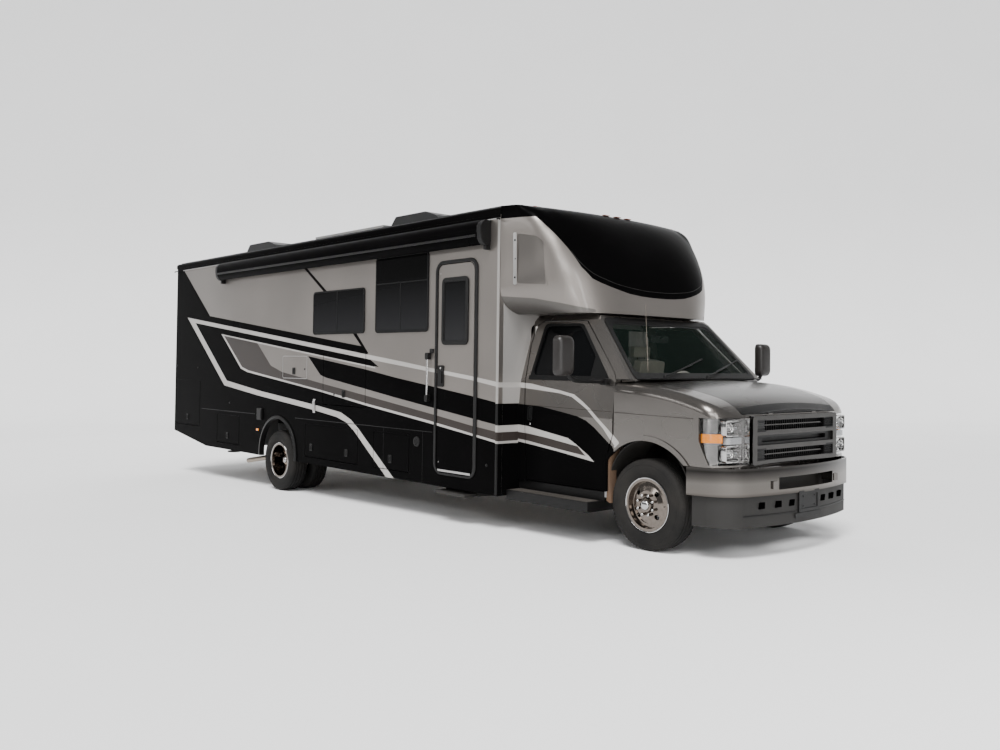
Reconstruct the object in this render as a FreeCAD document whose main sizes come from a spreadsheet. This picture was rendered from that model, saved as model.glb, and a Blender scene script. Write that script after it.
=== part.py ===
import FreeCAD, Part
import math
import os
import Sketcher

# Class C motorhome on a cutaway van chassis. Millimetres, +X forward, +Y left, +Z up.
# Sprung pieces are drawn level about the front axle (x 0, ground z 0) and then take the body's rake.

V = FreeCAD.Vector
doc = FreeCAD.newDocument("motorhome")

SIZES = {
    # Stance and fits
    "wheelbase": 5650, "rake_angle": 1.1, "seat_gap": 0.3, "door_gap": 8, "seam_gap": 6,
    # Coach box
    "half_width": 1255, "rear_x": -8900, "cab_seam_x": -1515, "roof_z": 2955,
    "wall_thick": 50, "roof_thick": 75, "floor_top": 890, "floor_thick": 75, "skirt_bottom": 292,
    "tail_bottom": 448, "tail_break_x": -7744, "wall_corner": 40, "roof_edge": 40,
    "arch_half": 445, "arch_rise": 497,
    # Entry door and its well
    "entry_front": -1883, "entry_rear": -2425, "entry_low": 440, "entry_high": 2470,
    "entry_corner": 70, "entry_thick": 45, "well_depth": 360, "well_floor": 425, "well_step": 640,
    "sheet": 15,
    # Windows of the coach
    "window_corner": 45, "window_thick": 30, "window_proud": 8,
    # Compartment doors and their hinges
    "hatch_thick": 40, "hatch_corner": 18, "locker_depth": 520, "wall_locker_depth": 240,
    "pin_r": 2, "barrel_r": 3.7, "barrel_inset": 30,
    # Frame
    "rail_y": 420, "rail_width": 80, "rail_low": 440, "rail_high": 620, "rail_wall": 9,
    "rail_front": 740, "rail_rear": -8780, "bearer_length": 60, "bearer_reach": 640,
    "bulkhead_notch": 160,
    # Ways through the bulkhead
    "passage_half": 850, "passage_high": 1880, "passage_corner": 60, "bunk_way_half": 1120,
    "bunk_way_low": 2110, "bunk_way_high": 2820, "bunk_way_corner": 80,
    # Engine, gearbox, tank and exhaust
    "engine_front": 420, "engine_rear": -680, "engine_half": 270, "engine_mount": 50,
    "gearbox_rear": -1500, "gearbox_half": 170, "tank_front": -6560, "tank_rear": -7480,
    "tank_half": 300, "tank_height": 260, "tank_corner": 60, "pipe_r": 32, "pipe_bend": 120,
    "pipe_y": -250, "pipe_z": 380, "silencer_r": 95, "silencer_front": -3300, "silencer_length": 700,
    # Front wheels, twin beams and steering
    "tyre_r": 372, "tyre_half": 111, "rim_r": 203, "rim_edge_r": 220, "rim_half": 92, "front_track": 1763,
    "kingpin_inset": 71.5, "kingpin_r": 22, "spindle_r": 32, "hub_r": 72, "beam_offset": 45,
    # Twin rear wheels
    "rear_track": 1980, "twin_space": 290, "axle_tube_r": 62, "rear_hub_r": 62, "stub_r": 48,
    "spring_y": 530, "spring_width": 75, "spring_reach": 700, "spring_seat": 14,
    # Wheel discs
    "lug_circle_r": 82.5, "lug_r": 11, "lug_height": 22, "hand_hole_r": 21, "hand_hole_at": 131,
    # Cab
    "cab_half": 1007, "cab_belt_half": 972, "cab_roof_half": 800, "cab_roof": 1965, "cab_belt": 1360,
    "cab_sill": 430, "cab_floor": 640, "cab_well_y": 740, "cab_skin": 18, "cab_door_thick": 70,
    "cab_front": -350, "glass": 6, "screen_foot_x": -190, "screen_foot_z": 1372,
    "screen_head_x": -715, "screen_head_z": 1945, "doghouse_half": 330, "doghouse_top": 1050,
    "mirror_x": -480, "mirror_y": 1460, "mirror_half": 95, "mirror_low": 1410, "mirror_high": 1740,
    "mirror_depth": 90, "mirror_arm_r": 14,
    # Front end
    "nose_skin": 15, "hood_half_rear": 800, "hood_half_front": 700, "hood_rear": -60,
    "hood_lip": 1135, "nose_low": 500, "grille_half": 640, "grille_low": 735, "grille_high": 1120,
    "grille_x": 765, "grille_depth": 60, "grille_bar": 38, "grille_side": 62, "grille_corner": 30,
    "lamp_inner": 660, "lamp_low": 745, "lamp_high": 1105, "lamp_depth": 70, "lamp_rear": 520,
    "lamp_slant": 80, "lamp_slant_z": 930, "fender_arch_half": 410, "fender_arch_top": 894,
    "fender_arch_side": 700, "flare_width": 42, "flare_proud": 12,
    # Bumpers
    "bumper_low": 505, "bumper_high": 722, "bumper_wall": 12, "valance_low": 265, "valance_wall": 8,
    "rear_bumper_low": 470, "rear_bumper_depth": 110, "rear_bumper_height": 120,
    # Tail lamps
    "lamp_tail_inner": 1010, "lamp_tail_outer": 1190, "lamp_tail_low": 610, "lamp_tail_high": 900,
    "lamp_tail_depth": 35,
    # Overcab cap
    "cap_wall": 25,
    # Dashboard, steering wheel and seats
    "dash_half": 880, "dash_high": 1340, "column_r": 26, "column_length": 330, "column_tilt": 62,
    "column_y": 420, "column_z": 1120, "steer_ring_r": 190, "steer_grip_r": 15, "spoke_width": 30,
    "spoke_thick": 12, "seat_inner": 380, "seat_outer": 780, "seat_front": -820, "seat_rear": -1240,
    "seat_cushion": 980, "seat_head": 1705,
    # Roof fittings
    "cooler_length": 1110, "cooler_half": 340, "cooler_height": 335, "front_cooler_x": -3460,
    "rear_cooler_x": -7330, "solar_length": 1510, "solar_width": 470, "solar_thick": 35,
    "solar_lift": 90, "solar_front": -3970, "solar_y": 635, "vent_size": 420, "vent_height": 95,
    # Awning, boards, steps and jacks
    "awning_front": -1700, "awning_rear": -7200, "awning_low": 2605, "awning_high": 2838,
    "awning_out": 135, "board_front": -480, "board_rear": -1490, "board_out": 1165, "board_in": 800,
    "board_low": 265, "board_high": 350, "step_arm": 150, "step_pivot_z": 345, "step_pivot_y": 1075,
    "step_tread": 280, "step_half": 280, "step_shaft_r": 12, "step_pin_r": 8, "jack_r": 42,
    "jack_foot_r": 95, "jack_low": 225, "jack_y": 560,
    # Tow socket
    "receiver_out": 64, "receiver_in": 51, "receiver_pin_r": 8, "receiver_drop": 14,
}

sheet = doc.addObject("Spreadsheet::Sheet", "dims")
for row, (alias, number) in enumerate(SIZES.items(), start=1):
    sheet.set("A%d" % row, alias)
    sheet.set("B%d" % row, str(number))
    sheet.setAlias("B%d" % row, alias)
doc.recompute()


class Size:
    """A length that keeps both its number and the sheet expression that it comes from."""

    def __init__(self, text, value):
        self.text = text
        self.value = float(value)

    def combine(self, other, sign, value, flip=False):
        text = other.text if isinstance(other, Size) else repr(float(other))
        left, right = (text, self.text) if flip else (self.text, text)
        return Size("(%s %s %s)" % (left, sign, right), value)

    def __add__(self, other):
        return self.combine(other, "+", self.value + float(other))

    def __radd__(self, other):
        return self.combine(other, "+", float(other) + self.value, flip=True)

    def __sub__(self, other):
        return self.combine(other, "-", self.value - float(other))

    def __rsub__(self, other):
        return self.combine(other, "-", float(other) - self.value, flip=True)

    def __mul__(self, other):
        return self.combine(other, "*", self.value * float(other))

    def __rmul__(self, other):
        return self.combine(other, "*", float(other) * self.value, flip=True)

    def __truediv__(self, other):
        return self.combine(other, "/", self.value / float(other))

    def __neg__(self):
        return Size("(-%s)" % self.text, -self.value)

    def __float__(self):
        return self.value


class Sizes:
    """Gives each alias of the sheet as a Size."""

    def __getattr__(self, alias):
        return Size("dims." + alias, sheet.get(alias))


d = Sizes()
parts = []


def bind(item, prop, size):
    """Set a property from a size, as an expression where the size comes from the sheet."""
    if isinstance(size, Size):
        item.setExpression(prop, size.text)
    else:
        item.setExpression(prop, repr(float(size)))


def keep(item, label, at=None):
    """Note a finished sub-part. One with no place of its own is sprung and takes the rake."""
    item.Label = label
    parts.append((item, at))
    return item


# Sketches and the solids made from them

def rounded(a0, b0, a1, b1, radius):
    """A rectangle with round corners. A point with four numbers ends an arc through its last two."""
    slack = radius * (1 - math.sqrt(0.5))
    return [
        (a0 + radius, b0, a0 + slack, b0 + slack), (a1 - radius, b0),
        (a1, b0 + radius, a1 - slack, b0 + slack), (a1, b1 - radius),
        (a1 - radius, b1, a1 - slack, b1 - slack), (a0 + radius, b1),
        (a0, b1 - radius, a0 + slack, b1 - slack), (a0, b0 + radius),
    ]


def rectangle(a0, b0, a1, b1):
    return [(a0, b0), (a1, b0), (a1, b1), (a0, b1)]


def fix_point(sketch, number, end, a, b):
    """Hold one end of a sketch line at a place given by two sizes."""
    for kind, size in (("DistanceX", a), ("DistanceY", b)):
        mark = sketch.addConstraint(Sketcher.Constraint(kind, -1, 1, number, end, float(size)))
        if isinstance(size, Size):
            sketch.setExpression("Constraints[%d]" % mark, size.text)


def draw(sketch, path):
    """Draw a closed path of lines and arcs, every point held by its sizes."""
    edges = []
    count = len(path)
    for index, here in enumerate(path):
        after = path[(index + 1) % count]
        start = V(float(here[0]), float(here[1]), 0)
        end = V(float(after[0]), float(after[1]), 0)
        forward = True
        if len(after) == 4:
            via = V(float(after[2]), float(after[3]), 0)
            forward = (via - start).cross(end - via).z > 0
            edge = Part.Arc(start, via, end) if forward else Part.Arc(end, via, start)
        else:
            edge = Part.LineSegment(start, end)
        number = sketch.addGeometry(edge)
        edges.append((number, 1 if forward else 2, 2 if forward else 1))
    for index, (number, head, tail) in enumerate(edges):
        follower = edges[(index + 1) % count]
        sketch.addConstraint(Sketcher.Constraint("Coincident", number, tail, follower[0], follower[1]))
        fix_point(sketch, number, head, path[index][0], path[index][1])
        after = path[(index + 1) % count]
        if len(after) == 4:
            via = sketch.addGeometry(Part.Point(V(float(after[2]), float(after[3]), 0)), True)
            sketch.addConstraint(Sketcher.Constraint("PointOnObject", via, 1, number))
            fix_point(sketch, via, 1, after[2], after[3])


def draw_circle(sketch, a, b, radius):
    number = sketch.addGeometry(Part.Circle(V(float(a), float(b), 0), V(0, 0, 1), float(radius)))
    fix_point(sketch, number, 3, a, b)
    mark = sketch.addConstraint(Sketcher.Constraint("Radius", number, float(radius)))
    if isinstance(radius, Size):
        sketch.setExpression("Constraints[%d]" % mark, radius.text)


def new_body(name):
    body = doc.addObject("PartDesign::Body", name)
    body.AllowCompound = True
    return body


def new_sketch(body, plane, offset, paths, circles=()):
    """A sketch on one of the body's own planes, moved along the plane's world axis."""
    sketch = body.newObject("Sketcher::SketchObject", "outline")
    origin = next(item for item in body.Origin.OriginFeatures if item.Role == plane + "_Plane")
    sketch.AttachmentSupport = [(origin, "")]
    sketch.MapMode = "FlatFace"
    bind(sketch, "AttachmentOffset.Base.z", -offset if plane == "XZ" else offset)
    for path in paths:
        draw(sketch, path)
    for a, b, radius in circles:
        draw_circle(sketch, a, b, radius)
    return sketch


def pad(body, plane, start, end, paths, circles=()):
    """A pad between two world coordinates along the plane's axis."""
    feature = body.newObject("PartDesign::Pad", "pad")
    feature.Profile = new_sketch(body, plane, start, paths, circles)
    feature.Reversed = plane == "XZ"
    bind(feature, "Length", end - start)
    return feature


def pocket(body, plane, start, end, paths, circles=()):
    """A pocket between two world coordinates along the plane's axis."""
    feature = body.newObject("PartDesign::Pocket", "pocket")
    face = start if plane == "XZ" else end
    feature.Profile = new_sketch(body, plane, face, paths, circles)
    bind(feature, "Length", end - start)
    return feature


def padded_body(name, plane, start, end, paths, circles=()):
    body = new_body(name)
    pad(body, plane, start, end, paths, circles)
    return body


def turned_body(name, paths):
    """A solid turned about its own Y axis from paths of (y, radius)."""
    body = new_body(name)
    feature = body.newObject("PartDesign::Revolution", "turned")
    sketch = new_sketch(body, "YZ", 0, paths)
    feature.Profile = sketch
    feature.ReferenceAxis = (sketch, ["H_Axis"])
    feature.Angle = 360
    return body


def box(x0, x1, y0, y1, z0, z1, name="block"):
    item = doc.addObject("Part::Box", name)
    bind(item, "Length", x1 - x0)
    bind(item, "Width", y1 - y0)
    bind(item, "Height", z1 - z0)
    bind(item, "Placement.Base.x", x0)
    bind(item, "Placement.Base.y", y0)
    bind(item, "Placement.Base.z", z0)
    return item


TURNS = {"X": (V(0, 1, 0), 90), "Y": (V(1, 0, 0), -90), "Z": (V(0, 0, 1), 0)}


def rod(axis, x, y, z, radius, length, name="rod"):
    """A cylinder that starts at a point and runs along a world axis."""
    item = doc.addObject("Part::Cylinder", name)
    bind(item, "Radius", radius)
    bind(item, "Height", length)
    item.Placement = FreeCAD.Placement(V(), FreeCAD.Rotation(*TURNS[axis]))
    bind(item, "Placement.Base.x", x)
    bind(item, "Placement.Base.y", y)
    bind(item, "Placement.Base.z", z)
    return item


def fuse(items, name="joined"):
    item = doc.addObject("Part::MultiFuse", name)
    item.Shapes = items
    item.Refine = True
    return item


def group(items, name="group"):
    item = doc.addObject("Part::Compound", name)
    item.Links = items
    return item


def cut(base, tools, name="cut"):
    item = doc.addObject("Part::Cut", name)
    item.Base = base
    item.Tool = tools[0] if len(tools) == 1 else fuse(tools)
    return item


def feature(shape, name):
    item = doc.addObject("Part::Feature", name)
    item.Shape = shape
    return item


def side_span(side, inner, outer):
    """Start and end across the vehicle for a piece on one side."""
    return (inner, outer) if side > 0 else (-outer, -inner)


SIDES = (("right", -1), ("left", 1))

# Places shared by several pieces

wall_inner = d.half_width - d.wall_thick
rear_inner = d.rear_x + d.wall_thick
wall_top = d.roof_z - d.roof_thick - d.seat_gap
floor_low = d.floor_top - d.floor_thick
bulkhead_rear = d.cab_seam_x - d.wall_thick
body_rear = rear_inner + d.seat_gap
cross_low = d.rail_low + 60
web_inner = d.rail_y + d.rail_width / 2 - d.rail_wall - d.seat_gap
axle_x = -d.wheelbase
kingpin_y = d.front_track / 2 - d.kingpin_inset
rake_sin = Size("sin(dims.rake_angle * 1 deg)", math.sin(math.radians(float(d.rake_angle))))
rake_cos = Size("cos(dims.rake_angle * 1 deg)", math.cos(math.radians(float(d.rake_angle))))
# The rear axle's centre as the raked body sees it
axle_body_x = axle_x * rake_cos - d.tyre_r * rake_sin
axle_body_z = axle_x * rake_sin + d.tyre_r * rake_cos

# Window outlines of the coach walls, as x rear, z low, x front, z high
RIGHT_WINDOWS = {
    "long": (-4830, 1819, -3737, 2325),
    "tall": (-3523, 1816, -2585, 2630),
}
LEFT_WINDOWS = {
    "bed": (-8350, 1830, -7450, 2330),
    "galley": (-4100, 1819, -3000, 2325),
}
# Compartment doors, as side, x rear, z low, x front, z high and locker depth
HATCHES = {
    "rear_locker_door": (-1, -8830, 560, -7985, 1210, d.locker_depth),
    "small_locker_door": (-1, -7393, 380, -6730, 757, d.locker_depth),
    "long_skirt_door": (-1, -4980, 376, -3850, 757, d.locker_depth),
    "short_skirt_door": (-1, -3530, 380, -2890, 757, d.locker_depth),
    "wall_hatch": (-1, -4590, 1010, -3710, 1600, d.wall_locker_depth),
    "left_locker_door": (1, -4700, 376, -3400, 757, d.locker_depth),
}


# Rear edges of the members between the rails, and of the bearers that carry the floor
CROSS_MEMBERS = (640, -1640, -2300, -3400, -4600, -6480, -7500, -8600)
FLOOR_BEARERS = (-2540, -3640, -5080, -6480, -7540, -8720)
# The entry door's pane, as x rear, z low, x front, z high
ENTRY_PANE = (-2350, 1690, -1965, 2330)
# Roof vents, as x rear and y
VENTS = ((-2900, -250), (-2900, 550), (-6400, 0))
# The windscreen's outline, as (y, z)
SCREEN = ((870, 1398), (745, 1905))
# Cab side window, as (x, z)
CAB_WINDOW = ((-455, 1395), (-880, 1862), (-1345, 1870), (-1390, 1392))


def arch_path(reach):
    """The rear wheel opening, grown by a reach, open below the skirt."""
    centre = axle_body_x
    half = d.arch_half + reach
    top = d.skirt_bottom + d.arch_rise + reach
    low = d.skirt_bottom - 200
    return [
        (centre - half, low), (centre + half, low), (centre + half, d.skirt_bottom + 60),
        (centre - half, d.skirt_bottom + 60, centre, top),
    ]


def hatch_outline(hatch, gap):
    side, rear, low, front, high, depth = HATCHES[hatch]
    return rounded(rear - gap, low - gap, front + gap, high + gap, d.hatch_corner + gap)


def entry_outline(gap):
    return rounded(d.entry_rear - gap, d.entry_low - gap, d.entry_front + gap, d.entry_high + gap,
                   d.entry_corner + gap)


# Coach body

def hinge_pin(axis, side, across, start, end):
    """A hinge pin on the wall's outer face, its ends let into the wall."""
    y = d.half_width * side
    if axis == "X":
        return rod("X", start, y, across, d.pin_r, end - start)
    return rod("Z", across, y, start, d.pin_r, end - start)


def hinge_barrel(axis, side, across, start, end, leaf_edge):
    """The door's barrel on the same line, joined to the door's edge by a strip."""
    y = d.half_width * side
    inner, outer = side_span(side, d.half_width - 3, d.half_width + 3)
    low, high = (leaf_edge, across) if float(leaf_edge) < float(across) else (across, leaf_edge)
    if axis == "X":
        barrel = rod("X", start, y, across, d.barrel_r, end - start)
        strip = box(start, end, inner, outer, low, high)
        bore = rod("X", start - 5, y, across, d.pin_r + d.seat_gap, end - start + 10)
    else:
        barrel = rod("Z", across, y, start, d.barrel_r, end - start)
        strip = box(low, high, inner, outer, start, end)
        bore = rod("Z", across, y, start - 5, d.pin_r + d.seat_gap, end - start + 10)
    return [barrel, strip], bore


def make_wall(label, side, windows):
    start, end = side_span(side, wall_inner, d.half_width)
    skirt = [
        (body_rear, d.tail_bottom), (d.tail_break_x, d.skirt_bottom), (d.cab_seam_x, d.skirt_bottom),
        (d.cab_seam_x, wall_top), (body_rear, wall_top),
    ]
    wall = padded_body("wall", "XZ", start, end, [skirt])
    pocket(wall, "XZ", start, end, [arch_path(0)])
    for rear, low, front, high in windows.values():
        pocket(wall, "XZ", start, end, [rounded(rear, low, front, high, d.window_corner)])
    for name, hatch in HATCHES.items():
        if hatch[0] == side:
            pocket(wall, "XZ", start, end, [hatch_outline(name, d.door_gap)])
    pins = []
    for hatch_side, rear, low, front, high, depth in HATCHES.values():
        if hatch_side == side:
            pins.append(hinge_pin("X", side, high + d.door_gap / 2, rear - d.door_gap - 4,
                                  front + d.door_gap + 4))
    if side < 0:
        pocket(wall, "XZ", start, end, [entry_outline(d.door_gap)])
        pins.append(hinge_pin("Z", side, d.entry_front + d.door_gap / 2, d.entry_low, d.entry_high))
    return keep(fuse([wall] + pins), label)


def make_rear_wall():
    outline = rectangle(-d.half_width, d.tail_bottom, d.half_width, wall_top)
    wall = padded_body("rear_wall", "YZ", d.rear_x, rear_inner, [outline])
    doc.recompute()
    plate = wall.Tip
    edges = []
    for number, edge in enumerate(wall.Shape.Edges, start=1):
        middle = edge.CenterOfMass
        upright = edge.BoundBox.ZLength > 1000
        if upright and abs(middle.x - float(d.rear_x)) < 1:
            edges.append("Edge%d" % number)
    corners = wall.newObject("PartDesign::Fillet", "corners")
    corners.Base = (plate, edges)
    bind(corners, "Radius", d.wall_corner)
    return keep(wall, "rear_wall")


def make_roof():
    low = d.roof_z - d.roof_thick
    edge = d.roof_edge
    slack = edge * (1 - math.sqrt(0.5))
    section = [
        (-d.half_width, low), (d.half_width, low), (d.half_width, d.roof_z - edge),
        (d.half_width - edge, d.roof_z, d.half_width - slack, d.roof_z - slack),
        (-d.half_width + edge, d.roof_z),
        (-d.half_width, d.roof_z - edge, -d.half_width + slack, d.roof_z - slack),
    ]
    roof = padded_body("coach_roof", "YZ", d.rear_x, d.cab_seam_x, [section])
    return keep(roof, "coach_roof")


def make_floor():
    outline = rectangle(body_rear, -wall_inner + d.seat_gap, bulkhead_rear - d.seat_gap,
                        wall_inner - d.seat_gap)
    floor = padded_body("coach_floor", "XY", floor_low, d.floor_top, [outline])
    well = rectangle(d.entry_rear - d.sheet - d.seat_gap * 2 - d.door_gap, -d.half_width,
                     d.entry_front + d.sheet + d.seat_gap * 2 + d.door_gap,
                     -wall_inner + d.well_depth + d.seat_gap)
    pocket(floor, "XY", floor_low, d.floor_top, [well])
    side, rear, low, front, high, depth = HATCHES["rear_locker_door"]
    reach = d.sheet + d.door_gap + d.seat_gap
    locker = rectangle(rear_inner, -d.half_width, front + reach, -wall_inner + depth + d.seat_gap)
    pocket(floor, "XY", floor_low, d.floor_top, [locker])
    return keep(floor, "coach_floor")


def make_bulkhead():
    outline = rectangle(-wall_inner + d.seat_gap, d.skirt_bottom, wall_inner - d.seat_gap, wall_top)
    plate = padded_body("front_bulkhead", "YZ", bulkhead_rear, d.cab_seam_x, [outline])
    pocket(plate, "YZ", bulkhead_rear, d.cab_seam_x,
           [rounded(-d.passage_half, d.rail_low - d.bulkhead_notch, d.passage_half, d.passage_high,
                    d.passage_corner),
            rounded(-d.bunk_way_half, d.bunk_way_low, d.bunk_way_half, d.bunk_way_high,
                    d.bunk_way_corner)])
    return keep(plate, "front_bulkhead")


def make_windows():
    """Framed panes that fill the window openings and stand a little proud outside."""
    panes = []
    for windows, side in ((RIGHT_WINDOWS, -1), (LEFT_WINDOWS, 1)):
        start, end = side_span(side, d.half_width - d.window_thick, d.half_width + d.window_proud)
        for rear, low, front, high in windows.values():
            gap = d.seat_gap
            outline = rounded(rear + gap, low + gap, front - gap, high - gap, d.window_corner - gap)
            panes.append(padded_body("pane", "XZ", start, end, [outline]))
    return keep(group(panes), "coach_windows")


def open_box(x0, x1, y0, y1, z0, z1, open_y0, open_y1):
    """A sheet box with one open side, where its hollow runs out past that side."""
    wall = d.sheet
    shell = box(x0, x1, y0, y1, z0, z1)
    hollow = box(x0 + wall, x1 - wall, open_y0, open_y1, z0 + wall, z1 - wall)
    return cut(shell, [hollow])


def make_lockers():
    boxes = []
    for side, rear, low, front, high, depth in HATCHES.values():
        inner = wall_inner - d.seat_gap
        reach = d.sheet + d.door_gap
        x0 = rear - reach
        x1 = front + reach
        z0 = low - reach
        z1 = high + reach
        if rear < float(rear_inner) + float(reach):
            x0 = body_rear
        if high < float(floor_low):
            z1 = floor_low - d.seat_gap
        if side < 0:
            boxes.append(open_box(x0, x1, -inner, -inner + depth, z0, z1, -inner - 10,
                                  -inner + depth - d.sheet))
        else:
            boxes.append(open_box(x0, x1, inner - depth, inner, z0, z1, inner - depth + d.sheet,
                                  inner + 10))
    # Entry well: a pan with one inner step, open to the door and to the room above
    x0 = d.entry_rear - d.sheet - d.door_gap
    x1 = d.entry_front + d.sheet + d.door_gap
    y0 = -wall_inner + d.seat_gap
    y1 = y0 + d.well_depth - d.seat_gap * 2
    pan = cut(box(x0, x1, y0, y1, d.well_floor, d.floor_top),
              [box(x0 + d.sheet, x1 - d.sheet, y0 - 10, y1 - d.sheet, d.well_floor + d.sheet,
                   d.floor_top + 10)])
    tread = box(x0 + d.sheet, x1 - d.sheet, y1 - d.well_depth / 2, y1 - d.sheet, d.well_floor + d.sheet,
                d.well_step)
    boxes.append(fuse([pan, tread]))
    return keep(group(boxes), "storage_boxes")


# Doors of the coach

def make_hatches():
    for label, (side, rear, low, front, high, depth) in HATCHES.items():
        start, end = side_span(side, d.half_width - d.hatch_thick, d.half_width)
        leaf = padded_body("leaf", "XZ", start, end, [hatch_outline(label, 0)])
        inset = d.barrel_inset
        pieces, bore = hinge_barrel("X", side, high + d.door_gap / 2, rear + inset, front - inset, high - 1)
        keep(cut(fuse([leaf] + pieces), [bore]), label)


def make_entry_door():
    start, end = side_span(-1, d.half_width - d.entry_thick, d.half_width)
    leaf = padded_body("leaf", "XZ", start, end, [entry_outline(0)])
    pane = rounded(*ENTRY_PANE, d.window_corner)
    pocket(leaf, "XZ", start, start + d.entry_thick / 3, [pane])
    pieces, bore = hinge_barrel("Z", -1, d.entry_front + d.door_gap / 2, d.entry_low + d.entry_corner,
                                d.entry_high - d.entry_corner, d.entry_front - 1)
    return keep(cut(fuse([leaf] + pieces), [bore]), "entry_door")


# Frame and running gear

def make_frame():
    """Ladder frame: channel rails, cross members riveted to their webs and bearers bolted over them."""
    pieces = []
    for side in (-1, 1):
        start, end = side_span(side, d.rail_y - d.rail_width / 2, d.rail_y + d.rail_width / 2)
        rail = box(d.rail_rear, d.rail_front, start, end, d.rail_low, d.rail_high)
        inner = d.rail_width - d.rail_wall
        hollow_start = start - 10 if side > 0 else start + d.rail_wall
        hollow = box(d.rail_rear - 10, d.rail_front + 10, hollow_start, hollow_start + inner + 10,
                     d.rail_low + d.rail_wall, d.rail_high - d.rail_wall)
        pieces.append(cut(rail, [hollow]))
    for x in CROSS_MEMBERS:
        pieces.append(box(x, x + d.bearer_length, -web_inner, web_inner, cross_low, d.rail_high - 20))
    for x in FLOOR_BEARERS:
        pieces.append(box(x, x + d.bearer_length, -d.bearer_reach, d.bearer_reach,
                          d.rail_high + d.seat_gap, floor_low - d.seat_gap))
    return keep(group(pieces), "frame_rails")


def make_engine():
    block = box(d.engine_rear, d.engine_front, -d.engine_half, d.engine_half,
                d.rail_low + 40, d.doghouse_top - 60)
    gearbox = box(d.gearbox_rear, d.engine_rear, -d.gearbox_half, d.gearbox_half,
                  d.rail_low - 60, d.cab_floor - 60)
    mounts = box(-60, 60, -web_inner, web_inner, cross_low, cross_low + d.engine_mount)
    return keep(fuse([block, gearbox, mounts]), "engine_block")


def make_rear_axle():
    """Axle tube with stubs, differential and propeller shaft, level with the ground."""
    reach = d.rear_track / 2
    tube = rod("Y", 0, -reach + 110, 0, d.axle_tube_r, reach * 2 - 220)
    stub = rod("Y", 0, -reach - 29.5, 0, d.stub_r, reach * 2 + 59)
    casing = doc.addObject("Part::Sphere", "casing")
    bind(casing, "Radius", d.axle_tube_r * 2.4)
    nose = rod("X", 0, 0, 0, d.axle_tube_r, 330)
    seats = []
    for side in (-1, 1):
        start, end = side_span(side, d.spring_y - d.spring_width / 2, d.spring_y + d.spring_width / 2)
        seats.append(box(-60, 60, start, end, 0, d.axle_tube_r + d.spring_seat))
    return keep(fuse([tube, stub, casing, nose] + seats), "rear_axle", at=(axle_x, 0, d.tyre_r))


def make_springs():
    """Leaf packs with their hangers, from eye to shackle beside the rails."""
    items = []
    centre = axle_body_x
    low = axle_body_z + d.axle_tube_r + d.spring_seat + d.seat_gap + 60 * rake_sin
    for side in (-1, 1):
        start, end = side_span(side, d.spring_y - d.spring_width / 2, d.spring_y + d.spring_width / 2)
        eye_z = d.rail_low + 20
        leaf = [
            (centre - d.spring_reach, eye_z), (centre + d.spring_reach, eye_z, centre, low + 62),
            (centre + d.spring_reach, eye_z - 34), (centre - d.spring_reach, eye_z - 34, centre, low),
        ]
        pack = padded_body("leaf", "XZ", start, end, [leaf])
        hanger_in = d.rail_y + d.rail_width / 2 + d.seat_gap
        hanger_start, hanger_end = side_span(side, hanger_in, d.spring_y + d.spring_width / 2)
        rear_hanger = box(centre - d.spring_reach - 30, centre - d.spring_reach + 40, hanger_start,
                          hanger_end, eye_z - 30, eye_z + 90)
        front_hanger = box(centre + d.spring_reach - 40, centre + d.spring_reach + 30, hanger_start,
                           hanger_end, eye_z - 30, eye_z + 90)
        items.append(fuse([pack, rear_hanger, front_hanger]))
    return keep(group(items), "leaf_springs")


def make_front_beams():
    """Twin beams that cross from each wheel to the far rail, with coil springs and their towers."""
    items = []
    low = d.tyre_r - 35
    high = d.tyre_r + 35
    eye_half = 52
    for side in (-1, 1):
        shift = d.beam_offset * side
        eye_y = kingpin_y * side
        far_y = -d.rail_y * side
        mid_y = eye_y * 0.55
        edge = 28
        plan = [
            (-edge, eye_y), (shift - edge, mid_y), (shift - edge, far_y), (shift + edge, far_y),
            (shift + edge, mid_y), (edge, eye_y),
        ]
        beam = padded_body("beam", "XY", low, high, [plan])
        eye = rod("Z", 0, eye_y, d.tyre_r - eye_half, d.kingpin_r + 16, 2 * eye_half)
        bore = rod("Z", 0, eye_y, d.tyre_r - eye_half - 10, d.kingpin_r + d.seat_gap, 2 * eye_half + 20)
        hanger = box(shift - edge, shift + edge, far_y - 30, far_y + 30, low,
                     d.rail_low - d.seat_gap - (shift + edge) * rake_sin)
        coil = rod("Z", 0, 600 * side, low, 58, d.rail_high - low)
        start, end = side_span(side, d.rail_y + d.rail_width / 2 + d.seat_gap, 660)
        tower = box(-70, 70, start, end, d.rail_high - 20, d.rail_high)
        items.append(cut(fuse([beam, eye, hanger, coil, tower]), [bore]))
    return keep(group(items), "front_beams", at=(0, 0, 0))


def make_knuckle(label, side):
    """Fork, kingpin, steering arm and spindle, about the kingpin."""
    fork_half = 85
    gap = 55
    post_y = 44
    pin = rod("Z", 0, 0, -fork_half, d.kingpin_r, 2 * fork_half)
    start, end = side_span(side, -34, 58)
    upper = box(-32, 32, start, end, gap, fork_half)
    lower = box(-32, 32, start, end, -fork_half, -gap)
    start, end = side_span(side, post_y, 58)
    post = box(-32, 32, start, end, -fork_half, fork_half)
    start, end = side_span(side, post_y, d.kingpin_inset + 39)
    spindle = rod("Y", 0, start, 0, d.spindle_r, end - start)
    start, end = side_span(side, 20, post_y)
    arm = box(-150, -20, start, end, -fork_half, -gap - 5)
    return keep(fuse([pin, upper, lower, post, spindle, arm]), label, at=(0, kingpin_y * side, d.tyre_r))


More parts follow.
